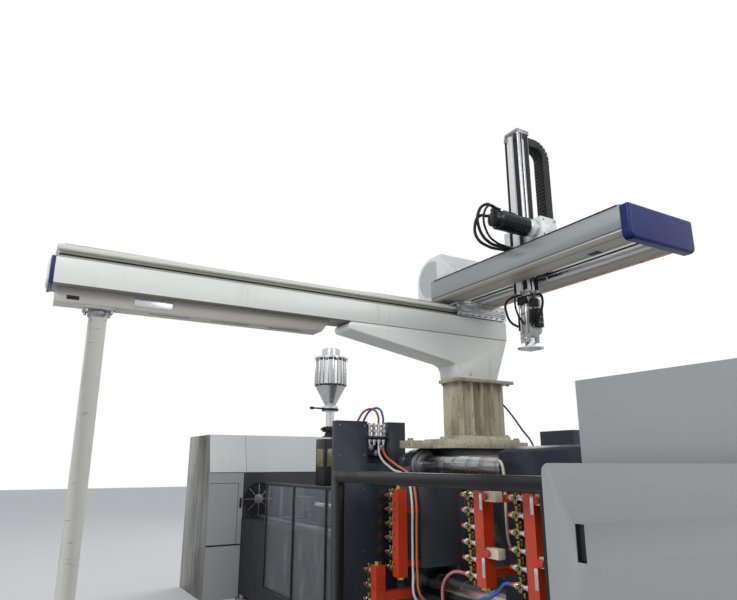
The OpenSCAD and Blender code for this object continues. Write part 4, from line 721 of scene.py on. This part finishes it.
class MACHINE_OT_arm(bpy.types.Operator):
    """Strips, rails, belt and top bracket of the vertical arm"""

    bl_idname = "machine.arm"
    bl_label = "Vertical arm"

    def execute(self, context):
        front, side, foot, head, top = -115, 704, 2870, 4170, 4199
        settle(brick((590, front - 4.6, foot + 10), (646, front, head - 20), 1.2), "arm_strip", "arm", *WHITE)
        settle([brick((566, front - 4.6, foot), (584, front, head + 5), 1),
                brick((660, front - 4, foot + 10), (701, front, head - 10), 1),
                brick((side, -46, foot + 10), (side + 3, -6, head + 5), 1),
                brick((side, -86, foot + 10), (side + 2, -76, head), 0.6)], "arm_belt", "arm", *RUBBER)
        settle([brick((side, -112, foot), (side + 4.5, -88, head), 2),
                brick((side, -74, foot), (side + 4.5, -52, head), 2),
                brick((650, front - 4.4, foot), (657, front, head), 1)], "arm_rails", "arm", *BRIGHT)
        settle([brick((568.5, -121, 4150), (580, 5, top), 3), brick((580, -121, 4172), (712, -108, top), 3),
                brick((690, -108, 4165), (712, 5, top), 3), brick((600, -70, 4186), (690, -20, top), 3),
                brick((568.5, -130, 4120), (600, -116, 4160), 3)], "arm_top_bracket", "arm", *DULL)
        settle(bolts([(x, -121, 4186) for x in (596, 640, 684)], (0, -1, 0), 6, 5),
               "arm_top_bolts", "arm", *BRIGHT)
        settle([brick((664, front - 11, 4100), (700, front - 2, 4150), 2),
                brick((side, -70, 4120), (side + 7, -30, 4160), 2)], "arm_stops", "arm", *BLACK)
        return {"FINISHED"}


class MACHINE_OT_chain(bpy.types.Operator):
    """Links of the cable chain, along its level stub, quarter bend and straight leg"""

    bl_idname = "machine.chain"
    bl_label = "Cable chain"

    def execute(self, context):
        pitch = context.scene.machine_looks.link_pitch * 1000
        link = joined([brick((-46, -34, -pitch * 0.50), (46, 34, pitch * 0.50), 3),
                       brick((-50, -35, -pitch * 0.52), (-44, 35, pitch * 0.52), 2, 1),
                       brick((44, -35, -pitch * 0.52), (50, 35, pitch * 0.52), 2, 1),
                       brick((-42, 30, -pitch * 0.30), (42, 37.5, pitch * 0.20), 2),
                       brick((-42, -37.5, -pitch * 0.30), (42, -30, pitch * 0.20), 2)])
        bend_y, bend_z, radius, foot = 96.0, 4020.0, 110.0, 3149.0
        straight, arc = bend_z - foot, radius * math.pi / 2

        def along(first, last):
            count = round((last - first) / pitch)
            spots = []
            for k in range(count):
                s = first + (k + 0.5) * (last - first) / count
                if s < straight:
                    y, z, a = bend_y + radius, foot + s, 0.0
                elif s < straight + arc:
                    a = (s - straight) / radius
                    y, z = bend_y + radius * math.cos(a), bend_z + radius * math.sin(a)
                else:
                    y, z, a = bend_y - (s - straight - arc), bend_z + radius, math.pi / 2
                spots.append(Matrix.Translation(at(CHAIN_X, y, z)) @ Matrix.Rotation(a, 4, "X")
                             @ Matrix.Translation(-at(0, 0, 0)))
            return copies(link, spots, keep=True)

        top, shut = straight + 32, 5
        leg = settle(along(0, top), "chain_leg", "arm_carriage", *BLACK)
        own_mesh(leg)
        settle(along(top, straight + arc + bend_y - 8), "chain_bend", "arm", *BLACK, 35, ("cable_chain",))
        bpy.data.objects.remove(link)
        ends = [brick((580, 168, 3148.8), (690, 244, 3154), 1.5), brick((582, 4, 4094), (688, 16, 4166), 3)]
        for piece, name, body in zip(ends, ("chain_foot", "chain_head"), ("arm_carriage", "arm")):
            settle(piece, name, body, *DULL)
        return {"FINISHED"}


class MACHINE_OT_drive(bpy.types.Operator):
    """Motor, adaptor and gearbox of the vertical arm, with the motor's cables"""

    bl_idname = "machine.drive"
    bl_label = "Arm drive"

    def execute(self, context):
        x, z = 793, 3316.3
        ribs = [(0, 44), (8, 56), (46, 58), (50, 66)]
        for k in range(8):
            a = 54 + k * 30
            ribs += [(a, 70), (a + 23, 70), (a + 24, 67.5), (a + 29, 67.5)]
        ribs += [(296, 70), (318, 70), (320, 66)]
        barrel = turned((x, -510, z), (0, 1, 0), ribs, 40)
        plugs = [brick((767, -500, 3366), (819, -440, 3404), 6, 3),
                 brick((765, -420, 3372), (821, -300, 3392), 4),
                 turned((793, -466, 3390), (0, -0.8, 1), [(0, 15), (16, 15), (18, 12), (28, 12)], 16),
                 turned((764, -480, 3356), (-1, -0.3, 0.2), [(0, 14), (26, 14), (28, 11), (40, 11)], 16)]
        settle([barrel] + plugs, "motor_shell", "arm_carriage", "black_plastic", "black_gloss", 35,
               ("arm_motor",))
        settle(turned((x, -190, z), (0, 1, 0),
                      [(0, 66), (8, 69), (14, 69), (15, 63), (58, 63), (60, 72), (80, 72)], 40),
               "motor_adaptor", "arm_carriage", "aluminium", "plate_metal")
        settle([brick((871, -98, 3248), (876, 38, 3384), 2),
                turned((874, -30, z), (1, 0, 0), [(0, 34), (3, 34), (5, 30)], 32)], "gearbox_face",
               "arm_carriage", *WHITE)
        settle(bolts([(876, y, h) for y in (-86, 26) for h in (3260, 3372)], (1, 0, 0), 7, 4),
               "gearbox_bolts", "arm_carriage", *DULL)
        for k, (points, radius) in enumerate((
            ([(793, -484, 3411), (786, -548, 3420), (775, -615, 3350), (765, -604, 3225), (748, -510, 3155),
              (737, -380, 3146), (732, -300, 3146)], 11),
            ([(726, -492, 3364), (690, -530, 3370), (668, -560, 3300), (664, -540, 3205), (676, -450, 3155),
              (690, -360, 3146), (700, -300, 3146)], 11),
            ([(819, -470, 3386), (832, -560, 3392), (824, -612, 3310), (806, -570, 3190), (780, -470, 3150),
              (764, -360, 3143), (756, -300, 3143)], 8),
        )):
            hose("motor_cable_%d" % k, "arm_carriage", "black_rubber", points, radius)
        settle([brick((690, -300, 3127), (780, -232, 3156), 3),
                brick((480, -260, 3127), (700, -200, 3136), 3)], "carriage_tray", "arm_carriage", *DULL)
        return {"FINISHED"}


class MACHINE_OT_wrist(bpy.types.Operator):
    """Rounded cover, air lines, rods and blocks of the wrist"""

    bl_idname = "machine.wrist"
    bl_label = "Wrist"

    def execute(self, context):
        cover = brick((580, -8, 2552), (690, 24, 2820))
        edit(lambda m, d: abs(d.y) > 0.9 and m.z < 2.6)
        bpy.ops.mesh.bevel(offset=0.045, segments=8, affect="EDGES")
        edit(lambda m, d: m.y > at(0, 23, 0).y)
        bpy.ops.mesh.bevel(offset=0.006, segments=3, affect="EDGES")
        settle(cover, "wrist_cover_shell", "arm", *WHITE, 40, ("wrist_cover",))
        for k, (points, radius) in enumerate((
            ([(600, -128, 2845), (570, -150, 2836), (536, -178, 2800), (535, -178, 2720), (556, -160, 2650),
              (596, -128, 2610)], 9),
            ([(714, -40, 2840), (752, -50, 2836), (784, -62, 2800), (782, -66, 2730), (748, -70, 2670),
              (712, -70, 2650)], 9),
            ([(640, -130, 2842), (640, -176, 2826), (650, -200, 2770), (656, -186, 2690), (652, -140, 2640),
              (650, -118, 2620)], 7),
            ([(714, -95, 2838), (744, -116, 2832), (762, -132, 2780), (752, -126, 2700), (722, -100, 2640),
              (690, -84, 2610)], 7),
        )):
            hose("wrist_air_line_%d" % k, "arm", "black_rubber", points, radius)
        settle([turned((x, -112, 2560), (0, 0, 1), [(0, 8), (3, 10), (240, 10), (243, 8)], 14)
                for x in (612, 668)], "wrist_rods", "arm", *CHROME, 40)
        settle([brick((686, -56, 2600), (722, 6, 2740), 3), brick((596, -126, 2774), (682, -106, 2828), 3),
                brick((690, -96, 2752), (722, -30, 2812), 4), brick((590, -122, 2580), (606, -106, 2700), 2)],
               "wrist_valves", "arm", *BLACK)
        settle([brick((594, -118, 2700), (684, -108, 2712), 2),
                brick((594, -118, 2640), (684, -108, 2650), 2),
                brick((676, -118, 2560), (690, -104, 2700), 2)], "wrist_plates", "arm", *DULL)
        settle(bolts([(x, -108, z) for x in (600, 670) for z in (2530, 2556)], (0, -1, 0), 6),
               "wrist_bolts", "arm", *BRIGHT)
        settle([turned((722, y, z), (1, 0, 0), [(0, 6), (6, 6), (7, 4), (14, 4)], 12)
                for y in (-40, -14) for z in (2630, 2670, 2710)], "wrist_fittings", "arm", *BRASS)
        return {"FINISHED"}


class MACHINE_OT_stand(bpy.types.Operator):
    """Bolts and small fittings of the robot's stand"""

    bl_idname = "machine.stand"
    bl_label = "Robot stand"

    def execute(self, context):
        for name, columns, rows, z, way, radius, height in (
            ("riser_top_bolts", (-195, 30), (-235, 265), 2270, -1, 12, 14),
            ("riser_foot_bolts", (20,), (-236, -90, 90, 236), 1848, 1, 13, 12),
            ("riser_plate_bolts", (45,), (-370, -320, 300, 320), 1823, 1, 14, 12),
            ("bar_bolts", (-205,), (-560, 560), 1811, 1, 22, 18),
        ):
            heads = bolts([(x, y, z) for x in columns for y in rows], (0, 0, way), radius, height)
            settle(heads, name, "machine", *DULL)
        settle(brick((-50, -116, 2320), (1.5, -84, 2352), 2), "casting_socket", "machine", "grey_cover",
               "inset_grey")
        hose("riser_cable", "machine", "black_rubber",
             [(2, 225, 2110), (24, 300, 2020), (44, 390, 1900), (48, 470, 1815), (20, 540, 1720),
              (-60, 600, 1600)], 7)
        return {"FINISHED"}


class MACHINE_OT_clamp(bpy.types.Operator):
    """Rings, seals and tubes round the tie bars and platens"""

    bl_idname = "machine.clamp"
    bl_label = "Clamp unit"

    def execute(self, context):
        corners = [(TIE_OFFSET * sy, AXIS_Z + TIE_OFFSET * sz) for sy in (-1, 1) for sz in (-1, 1)]
        ring = [(0, 78), (0.5, 124), (16, 124), (20, 118), (21, 100), (44, 98), (46, 78)]
        settle([turned((-240, y, z), (1, 0, 0), ring, 56) for y, z in corners],
               "tie_bar_rings", "machine", *DULL, 30)
        face, wiper = 850, [(0, 78), (0.5, 104), (12, 104), (14, 78)]
        settle([turned((face, y, z), (-1, 0, 0), wiper, 48) for y, z in corners],
               "tie_bar_wipers", "moving_half", *RUBBER, 30)
        plug = [(0, 12), (1, 26), (10, 26), (12, 14)]
        settle([turned((face, y, AXIS_Z + z), (-1, 0, 0), plug, 24) for y in (-350, 350)
                for z in (-200, 0, 200)], "platen_plugs", "moving_half", *DULL, 30)
        hose("platen_grease_line", "moving_half", "cream_plastic",
             [(880, -630, 1640), (890, -652, 1655), (920, -664, 1646), (940, -668, 1600), (945, -668, 1500),
              (945, -668, 1300), (940, -655, 1200), (930, -630, 1160)], 9)
        return {"FINISHED"}


class MACHINE_OT_cabinet(bpy.types.Operator):
    """Quick couplings of the casing beside the fixed platen"""

    bl_idname = "machine.cabinet"
    bl_label = "Coupling casing"

    def execute(self, context):
        shape = [(0, 15), (2, 18), (16, 18), (18, 15), (30, 15), (31, 20), (52, 20), (54, 16), (74, 16),
                 (75, 21), (92, 21), (95, 17), (98, 12), (104, 12)]
        lower = [(0, 15), (2, 18), (14, 18), (15, 20), (34, 20), (36, 15), (50, 15), (51, 12), (60, 12)]
        heads = [turned((-500, -758 + 44 * k, 1850), (0, 0, 1), shape, 6 if k % 2 else 18) for k in range(4)]
        under = [turned((-500, -758 + 44 * k, 1840), (0, 0, -1), lower, 18) for k in range(4)]
        settle(heads + under, "quick_couplings", "machine", *CHROME)
        settle([turned((-526, -745 + 50 * k, 1762 - 44 * (k % 2)), (1, 0, 0),
                       [(0, 16), (10, 16), (12, 24), (34, 24), (36, 12)], 6) for k in range(3)],
               "lower_couplings", "machine", *DULL)
        settle([brick((-478, -792, 1826), (-468, -590, 1842), 2),
                brick((-540, -790, 1700), (-500, -594, 1716), 2)], "coupling_rail", "machine", *FRAME)
        settle(bolts([(-472, y, z) for y in (-1040, -820) for z in (1930, 1700, 1450, 1000)], (1, 0, 0), 7,
                     4), "casing_screws", "machine", *DULL)
        return {"FINISHED"}


class MACHINE_OT_hoses(bpy.types.Operator):
    """Hoses between the couplings, the bed and the manifolds"""

    bl_idname = "machine.hoses"
    bl_label = "Hoses"

    def execute(self, context):
        runs = (
            ("white_hose", "machine", "hose_white", ("coupling_hoses",),
             [(-500, -670, 1804), (-500, -670, 1750), (-440, -690, 1690), (-250, -705, 1600),
              (-40, -705, 1530), (5, -703, 1400), (5, -701, 1150), (5, -700, 900), (12, -690, 740),
              (20, -640, 690), (20, -604, 668), (20, -600, 645)]),
            ("orange_hose", "machine", "hose_orange", (),
             [(-500, -626, 1804), (-500, -626, 1760), (-440, -650, 1710), (-250, -668, 1630),
              (-50, -668, 1540), (5, -666, 1400), (5, -665, 1150), (5, -664, 900), (12, -650, 760),
              (20, -590, 700), (20, -562, 672), (20, -560, 645)]),
            ("red_arch_hose", "machine", "hose_red", (),
             [(-500, -670, 1954), (-502, -672, 2010), (-530, -700, 2066), (-570, -750, 2060),
              (-596, -800, 1990), (-604, -830, 1880), (-606, -840, 1700), (-590, -842, 1540),
              (-553, -842, 1500)]),
            ("blue_arch_hose", "machine", "hose_blue", (),
             [(-500, -626, 1954), (-502, -628, 2014), (-530, -650, 2076), (-572, -690, 2070),
              (-600, -740, 2000), (-610, -770, 1880), (-612, -780, 1700), (-596, -782, 1540),
              (-553, -782, 1500)]),
            ("pink_hose", "moving_half", "hose_pink", ("moving_hoses",),
             [(872, -940, 1042), (812, -940, 1042), (745, -940, 1022), (675, -940, 960), (660, -940, 880),
              (690, -940, 790), (760, -940, 750), (850, -940, 745), (958, -940, 745)]),
            ("blue_hose", "moving_half", "hose_blue", (),
             [(1257, -940, 1042), (1205, -940, 1038), (1145, -940, 990), (1075, -940, 950),
              (990, -940, 915), (960, -940, 850), (984, -940, 795), (987, -940, 771)]),
        )
        for name, body, finish, nodes, points in runs:
            hose(name, body, finish, points, 9, nodes)
        return {"FINISHED"}


class MACHINE_OT_manifolds(bpy.types.Operator):
    """Nipples, collars, valves and brackets of the water manifolds"""

    bl_idname = "machine.manifolds"
    bl_label = "Water manifolds"

    def execute(self, context):
        count = context.scene.machine_looks.outlets
        posts, levels = (1060, 1445), (1440, 1150)
        nipple = [(0, 20), (8, 20), (10, 14), (22, 14), (24, 19), (36, 19), (38, 13), (62, 13), (64, 17),
                  (70, 17)]
        tip = [(0, 15), (4, 18), (18, 18), (20, 13), (30, 13), (32, 11), (44, 11), (46, 7), (52, 7)]
        for name, x, y, z0, pitch, n, body in (
            ("fixed", -20, -790, 880, 97, count, "machine"), ("low", -130, -905, 660, 97, 3, "machine"),
            ("first", posts[0], -940, 1000, 85, count, "moving_half"),
            ("second", posts[1], -940, 1000, 85, count, "moving_half"),
        ):
            rows = [(0, 0, pitch * k) for k in range(n)]
            z1, edge = z0 + pitch / 2, x - 37.5
            settle(copies(turned((edge, y, z1), (-1, 0, 0), nipple, 16), rows), name + "_nipples", body,
                   *CHROME, 30)
            stem, screw = [(0, 9), (14, 9), (16, 13), (26, 13)], [(0, 9), (8, 9), (10, 12), (18, 12)]
            bodies = joined([brick((edge - 98, y - 13, z1 - 30), (edge - 70, y + 13, z1 + 22), 5),
                             turned((edge - 84, y, z1 + 20), (0, 0, 1), stem, 12),
                             turned((edge - 84, y - 12, z1), (0, -1, 0), screw, 6)])
            settle(copies(bodies, rows), name + "_flow_bodies", body, *OLIVE)
            settle(copies(turned((edge - 98, y, z1), (-1, 0, 0), tip, 14), rows), name + "_tips", body,
                   *CHROME, 30)
            settle(brick((edge - 92, y + 14, z0 - 14), (edge - 76, y + 30, z0 + pitch * n - 12), 5, 3),
                   name + "_side_tube", body, *OLIVE)
            plug, drain = [(0, 30), (8, 30), (10, 24), (24, 24), (26, 18)], [(0, 28), (16, 28), (18, 22)]
            settle([turned((x, y, z0 + pitch * n), (0, 0, 1), plug, 6),
                    turned((x, y, z0), (0, 0, -1), drain, 6)], name + "_end_plugs", body, *BRASS, 30)
            ring = turned((edge, y, z1), (-1, 0, 0), [(0, 21), (2, 24), (9, 24), (11, 20)], 16)
            settle(copies(ring, rows), name + "_rings", body, *RED, 30)
        rows = [(0, 0, 97 * k) for k in range(count)]
        grip = [(0, 30), (3, 43), (12, 45), (34, 45), (44, 42), (48, 30)]
        knobs = copies(turned((-204, -790, 928.5), (-1, 0, 0), grip, 14), rows)
        lever = joined([brick((-52, -836, 934), (-30, -826, 950), 3),
                        brick((-46, -842, 944), (-36, -834, 984), 3)])
        settle(copies(lever, rows), "fixed_levers", "machine", *BRASS)
        settle(knobs, "fixed_valve_knobs", "machine", *BLACK, 30)
        settle([brick((x + 37, -968, z), (x + 37 + length, -915, z + 54), 5)
                for x, length in zip(posts, (96, 60)) for z in levels],
               "manifold_brackets", "moving_half", "robot_white", "cream_plastic")
        grip = [(0, 10), (8, 10), (10, 20), (20, 20), (23, 16)]
        settle([turned((x + 60, -966, z + 27), (0, -1, 0), grip, 20) for x in posts for z in levels],
               "manifold_bracket_knobs", "moving_half", *RED, 30)
        settle([brick((x + 12, -979, z), (x + 34, -977, z + 100), 0.5) for x in posts for z in (1396, 1050)],
               "manifold_tags", "moving_half", *BRIGHT)
        return {"FINISHED"}


class MACHINE_OT_guards(bpy.types.Operator):
    """Handles, window, seams and vents of the gates and the clamp cover"""

    bl_idname = "machine.guards"
    bl_label = "Guards"

    def execute(self, context):
        settle(brick((408, 1168, 950), (937, 1172, 1580), 1), "gate_window", "operator_gate", *PANE)
        rim = [brick((400, 1179, z), (945, 1184, z + 14), 2) for z in (943, 1573)]
        rim += [brick((x, 1179, 957), (x + 14, 1184, 1573), 2) for x in (400, 931)]
        settle(rim, "gate_window_rim", "operator_gate", *RUBBER)
        for name, body, x, y in (("rear_handle", "rear_gate", 1911, -1166),
                                 ("operator_handle", "operator_gate", -234, 1152)):
            settle(brick((x, y, 1246), (x + 52, y + 14, 1404), 3), name, body, *BLACK)
        for name, y in (("cover_vents_rear", -1068), ("cover_vents_front", 1063)):
            settle([brick((3300, y, z), (3800, y + 5, z + 16), 1.5) for z in range(1500, 1788, 32)],
                   name, "machine", *BLACK)
        settle([brick((x, s * COVER_SIDE - 0.9, 360), (x + 4, s * COVER_SIDE + 0.9, 1990))
                for x in (2640, 3390) for s in (-1, 1)], "cover_seams", "machine", *RUBBER)
        return {"FINISHED"}


class MACHINE_OT_enclosure(bpy.types.Operator):
    """Seams, fan, louvres and handles of the power enclosure"""

    bl_idname = "machine.enclosure"
    bl_label = "Power enclosure"

    def execute(self, context):
        side, lid, ridge = 950, 1515, (-4310, 0, 2000)
        lines = [brick((CABINET_FACE - 2, y0, z0), (CABINET_FACE + 0.2, y1, z1)) for y0, z0, y1, z1 in (
            (-948, 622, -490, 640), (-944, 1380, -560, 1385), (-564, 640, -559, 1385),
            (-494, 20, -486, lid + 1),
        )]
        lines.append(brick((CABINET_FACE - 2, -948, lid - 3), (CABINET_FACE + 0.5, 948, lid + 5)))
        lines += [brick((-4750, s * side - 1.2, 20), (-4745, s * side + 1.2, lid)) for s in (-1, 1)]
        seam = brick((ridge[0] - 2, -463, lid + 5), (ridge[0] + 1, -459, ridge[2] - 4))
        seam.data.transform(around(ridge, -math.atan2(110, 480), "Y"))
        settle(lines + [seam], "enclosure_seams", "machine", *RUBBER)
        settle([brick((-4740, side - 0.5, 300 + 30 * k), (-4300, side + 2.5, 314 + 30 * k), 1)
                for k in range(8)], "enclosure_louvres", "machine", *BLACK)
        settle(brick((CABINET_FACE + 1, -540, 1080), (CABINET_FACE + 15, -514, 1200), 5, 3),
               "enclosure_pull", "machine", *BLACK)
        hub, reach = (CABINET_FACE, FAN_Y, FAN_Z), 195
        spoke = brick((CABINET_FACE + 3, FAN_Y - 4, FAN_Z - reach),
                      (CABINET_FACE + 13, FAN_Y + 4, FAN_Z + reach), 1)
        spokes = copies(spoke, [around(hub, k * math.pi / 4, "X") for k in range(4)])
        middle = turned(hub, (1, 0, 0), [(0, 60), (12, 60), (14, 50)], 32)
        settle([middle, spokes], "fan_spokes", "machine", *DULL)
        settle(turned(hub, (1, 0, 0), [(0, 214), (10, 214), (14, 206), (10, 198), (1, 198)], 48),
               "fan_ring", "machine", *BLACK)
        return {"FINISHED"}


class MACHINE_OT_hopper(bpy.types.Operator):
    """Rings, rods, clamps, sight box and slide of the hopper"""

    bl_idname = "machine.hopper"
    bl_label = "Hopper"

    def execute(self, context):
        def ringed(part, count, start=0.0):
            return copies(part, [around((HOPPER_X, 0, 0), start + 2 * math.pi * k / count, "Z")
                                 for k in range(count)])

        settle([turned((HOPPER_X, 0, z), (0, 0, 1), [(0, 180.5), (2, 184), (h - 2, 184), (h, 180.5)], 48)
                for z, h in ((2518, 24), (2822, 24))], "hopper_rings", "injection_unit", *BLACK, 30)
        settle(ringed(turned((HOPPER_X, 188, 2524), (0, 0, 1), [(0, 4), (2, 5), (318, 5), (320, 4)], 8), 20),
               "hopper_rods", "injection_unit", *BRIGHT, 40)
        settle(ringed(brick((HOPPER_X - 12, 181, 2818), (HOPPER_X + 12, 200, 2846), 3), 10, 0.2),
               "hopper_clips", "injection_unit", *DULL)
        box, pane = 118, 86
        settle(brick((HOPPER_X - box, -box, 1386), (HOPPER_X + box, box, 1907), 6), "sight_box",
               "injection_unit", *BLACK)
        settle([brick((HOPPER_X + box - 1, -pane, 1600), (HOPPER_X + box + 3, pane, 1796), 2),
                brick((HOPPER_X - pane, -box - 4, 1600), (HOPPER_X + pane, 1 - box, 1796), 2)],
               "hopper_sight_glass", "injection_unit", "clear_guard", "sight_glass")
        settle([brick((HOPPER_X - 68, -66, 1990), (HOPPER_X + 68, 66, 2052), 6),
                brick((HOPPER_X - 50, -96, 2006), (HOPPER_X + 10, -60, 2036), 4),
                turned((HOPPER_X, 0, 1926), (0, 0, 1),
                       [(0, 88), (14, 88), (16, 62), (40, 62), (42, 54), (70, 54)], 32),
                turned((HOPPER_X, 0, 2230), (0, 0, 1), [(0, 96.5), (2, 99), (28, 99), (30, 96.5)], 32)],
               "hopper_neck_parts", "injection_unit", *BLACK)
        settle(turned((HOPPER_X, -96, 2259), (0, -1, 0),
                      [(0, 10), (60, 10), (62, 9), (120, 9), (122, 16), (160, 16), (164, 12)], 16),
               "hopper_slide_handle", "injection_unit", *BLACK)
        return {"FINISHED"}


class MACHINE_OT_barrel(bpy.types.Operator):
    """Panes, frames and wiring round the barrel"""

    bl_idname = "machine.barrel"
    bl_label = "Barrel and its guard"

    def execute(self, context):
        settle([brick((-3268, s * GUARD_SIDE - 4, 282), (-932, s * GUARD_SIDE + 4, 1388), 1)
                for s in (-1, 1)], "barrel_panes", "machine", *PANE)
        frames = []
        for y in (-530, 500):
            frames += [brick((-3300, y, z), (-900, y + 30, z + 30), 3) for z in (250, 1390)]
            frames += [brick((x, y, 278), (x + 30, y + 30, 1392), 3) for x in (-3300, -2520, -1740, -930)]
        settle(frames, "barrel_guard_frames", "machine", *FRAME, replaces=("barrel_guard",))
        for k, x in enumerate((-610, -940, -1270, -1600, -1930)):
            hose("heater_wire_%d" % k, "injection_unit", "hose_white",
                 [(x, 10, 1337), (x - 40, 8, 1356), (x - 165, 4, 1366), (x - 290, 8, 1356),
                  (x - 330, 10, 1337)], 5)
        return {"FINISHED"}


class MACHINE_OT_panel(bpy.types.Operator):
    """Screen, keys and stop button of the control panel"""

    bl_idname = "machine.panel"
    bl_label = "Control panel"

    def execute(self, context):
        face, post_top = 1358, 1560.3
        case = brick((-610, 1250, 1380), (-190, face, 1940), 12, 3)
        arm = brick((-570, 1100, post_top), (-530, 1252, 1620), 4)
        knuckle = turned((-550, 1100, post_top), (0, 0, 1), [(0, 48), (4, 50), (55, 50), (59.7, 46)], 32)
        settle([case, arm, knuckle], "panel_case", "panel", "dark_paint", "dark_slate",
               replaces=("control_panel",))
        settle(brick((-585, face - 2, 1600), (-215, face + 1.5, 1900), 2), "panel_screen", "panel",
               "black_plastic", "black_gloss")
        settle([brick((x, face - 2, z), (x + 28, face + 2, z + 22), 1.5)
                for x in range(-580, -300, 40) for z in range(1540, 1440, -36)],
               "panel_keys", "panel", "grey_cover", "cream_plastic")
        settle(turned((-240, face - 3, 1500), (0, 1, 0),
                      [(0, 10), (2, 10), (3, 18), (4.6, 18), (5, 15)], 24), "panel_stop", "panel", *RED, 30)
        return {"FINISHED"}


class MACHINE_OT_stage(bpy.types.Operator):
    """Floor, soft light and the camera at the photograph's viewpoint"""

    bl_idname = "machine.stage"
    bl_label = "Stage"

    def execute(self, context):
        clear()
        context.scene.view_settings.view_transform = "Standard"
        bpy.ops.mesh.primitive_plane_add(size=80, location=(0, 0, 0))
        floor = context.object
        floor.name = "studio_floor"
        floor.data.materials.append(Shade("studio_floor", (0.80, 0.80, 0.80), 0.0, 0.85).mat)
        world = bpy.data.worlds.new("studio")
        context.scene.world = world
        world.use_nodes = True
        tree = world.node_tree
        tree.nodes.clear()
        path = tree.nodes.new("ShaderNodeLightPath")
        seen = path.outputs["Is Camera Ray"]
        for kind in ("Glossy", "Transmission"):
            either = tree.nodes.new("ShaderNodeMath")
            either.operation, either.use_clamp = "ADD", True
            tree.links.new(seen, either.inputs[0])
            tree.links.new(path.outputs["Is %s Ray" % kind], either.inputs[1])
            seen = either.outputs[0]
        blend = tree.nodes.new("ShaderNodeMixShader")
        tree.links.new(seen, blend.inputs[0])
        for k, (color, strength) in enumerate((((0.90, 0.95, 1.0, 1), 0.52), ((1, 1, 1, 1), 1.0))):
            glow = tree.nodes.new("ShaderNodeBackground")
            glow.inputs["Color"].default_value, glow.inputs["Strength"].default_value = color, strength
            tree.links.new(glow.outputs[0], blend.inputs[k + 1])
        out = tree.nodes.new("ShaderNodeOutputWorld")
        tree.links.new(blend.outputs[0], out.inputs["Surface"])
        for name, spot, target, size, power in (("key", (6, -9, 9), (0, 0, 2), 6, 560),
                                                ("fill", (9, 3, 7), (1, 0, 2), 6, 240),
                                                ("back", (-8, 7, 8), (-1, 0, 2), 7, 260)):
            lamp = bpy.data.lights.new(name, "AREA")
            lamp.shape, lamp.size, lamp.energy = "DISK", size, power
            holder = bpy.data.objects.new(name, lamp)
            holder.location = spot
            holder.rotation_mode = "QUATERNION"
            holder.rotation_quaternion = (Vector(target) - Vector(spot)).to_track_quat("-Z", "Y")
            context.collection.objects.link(holder)
        eye = bpy.data.cameras.new("photo_view")
        eye.sensor_width, eye.lens, eye.clip_start, eye.clip_end = 36.0, EYE_LENS, 0.05, 200.0
        camera = bpy.data.objects.new("photo_view", eye)
        camera.matrix_world = Matrix.Translation(at(*EYE)) @ Matrix(EYE_AXES).transposed().to_4x4()
        context.collection.objects.link(camera)
        context.scene.camera = camera
        return {"FINISHED"}


MAKERS = (
    MACHINE_OT_stage, MACHINE_OT_finishes, MACHINE_OT_hoses, MACHINE_OT_edges, MACHINE_OT_beam,
    MACHINE_OT_saddle, MACHINE_OT_cross_frame, MACHINE_OT_arm, MACHINE_OT_chain, MACHINE_OT_drive,
    MACHINE_OT_wrist, MACHINE_OT_stand, MACHINE_OT_clamp, MACHINE_OT_cabinet, MACHINE_OT_manifolds,
    MACHINE_OT_guards, MACHINE_OT_enclosure, MACHINE_OT_hopper, MACHINE_OT_barrel, MACHINE_OT_panel,
)


class MACHINE_PT_looks(bpy.types.Panel):
    """The machine's settings and the steps that build its looks"""

    bl_label = "Machine looks"
    bl_idname = "MACHINE_PT_looks"
    bl_space_type = "VIEW_3D"
    bl_region_type = "UI"
    bl_category = "Machine"

    def draw(self, context):
        for key in MachineLooks.__annotations__:
            self.layout.prop(context.scene.machine_looks, key)
        for maker in MAKERS:
            self.layout.operator(maker.bl_idname)


CLASSES = (MachineLooks, *MAKERS, MACHINE_PT_looks)


def register():
    for cls in CLASSES:
        bpy.utils.register_class(cls)
    bpy.types.Scene.machine_looks = PointerProperty(type=MachineLooks)


def unregister():
    del bpy.types.Scene.machine_looks
    for cls in reversed(CLASSES):
        bpy.utils.unregister_class(cls)


def main():
    register()
    for maker in MAKERS:
        group, step = maker.bl_idname.split(".")
        getattr(getattr(bpy.ops, group), step)()


if __name__ == "__main__":
    main()
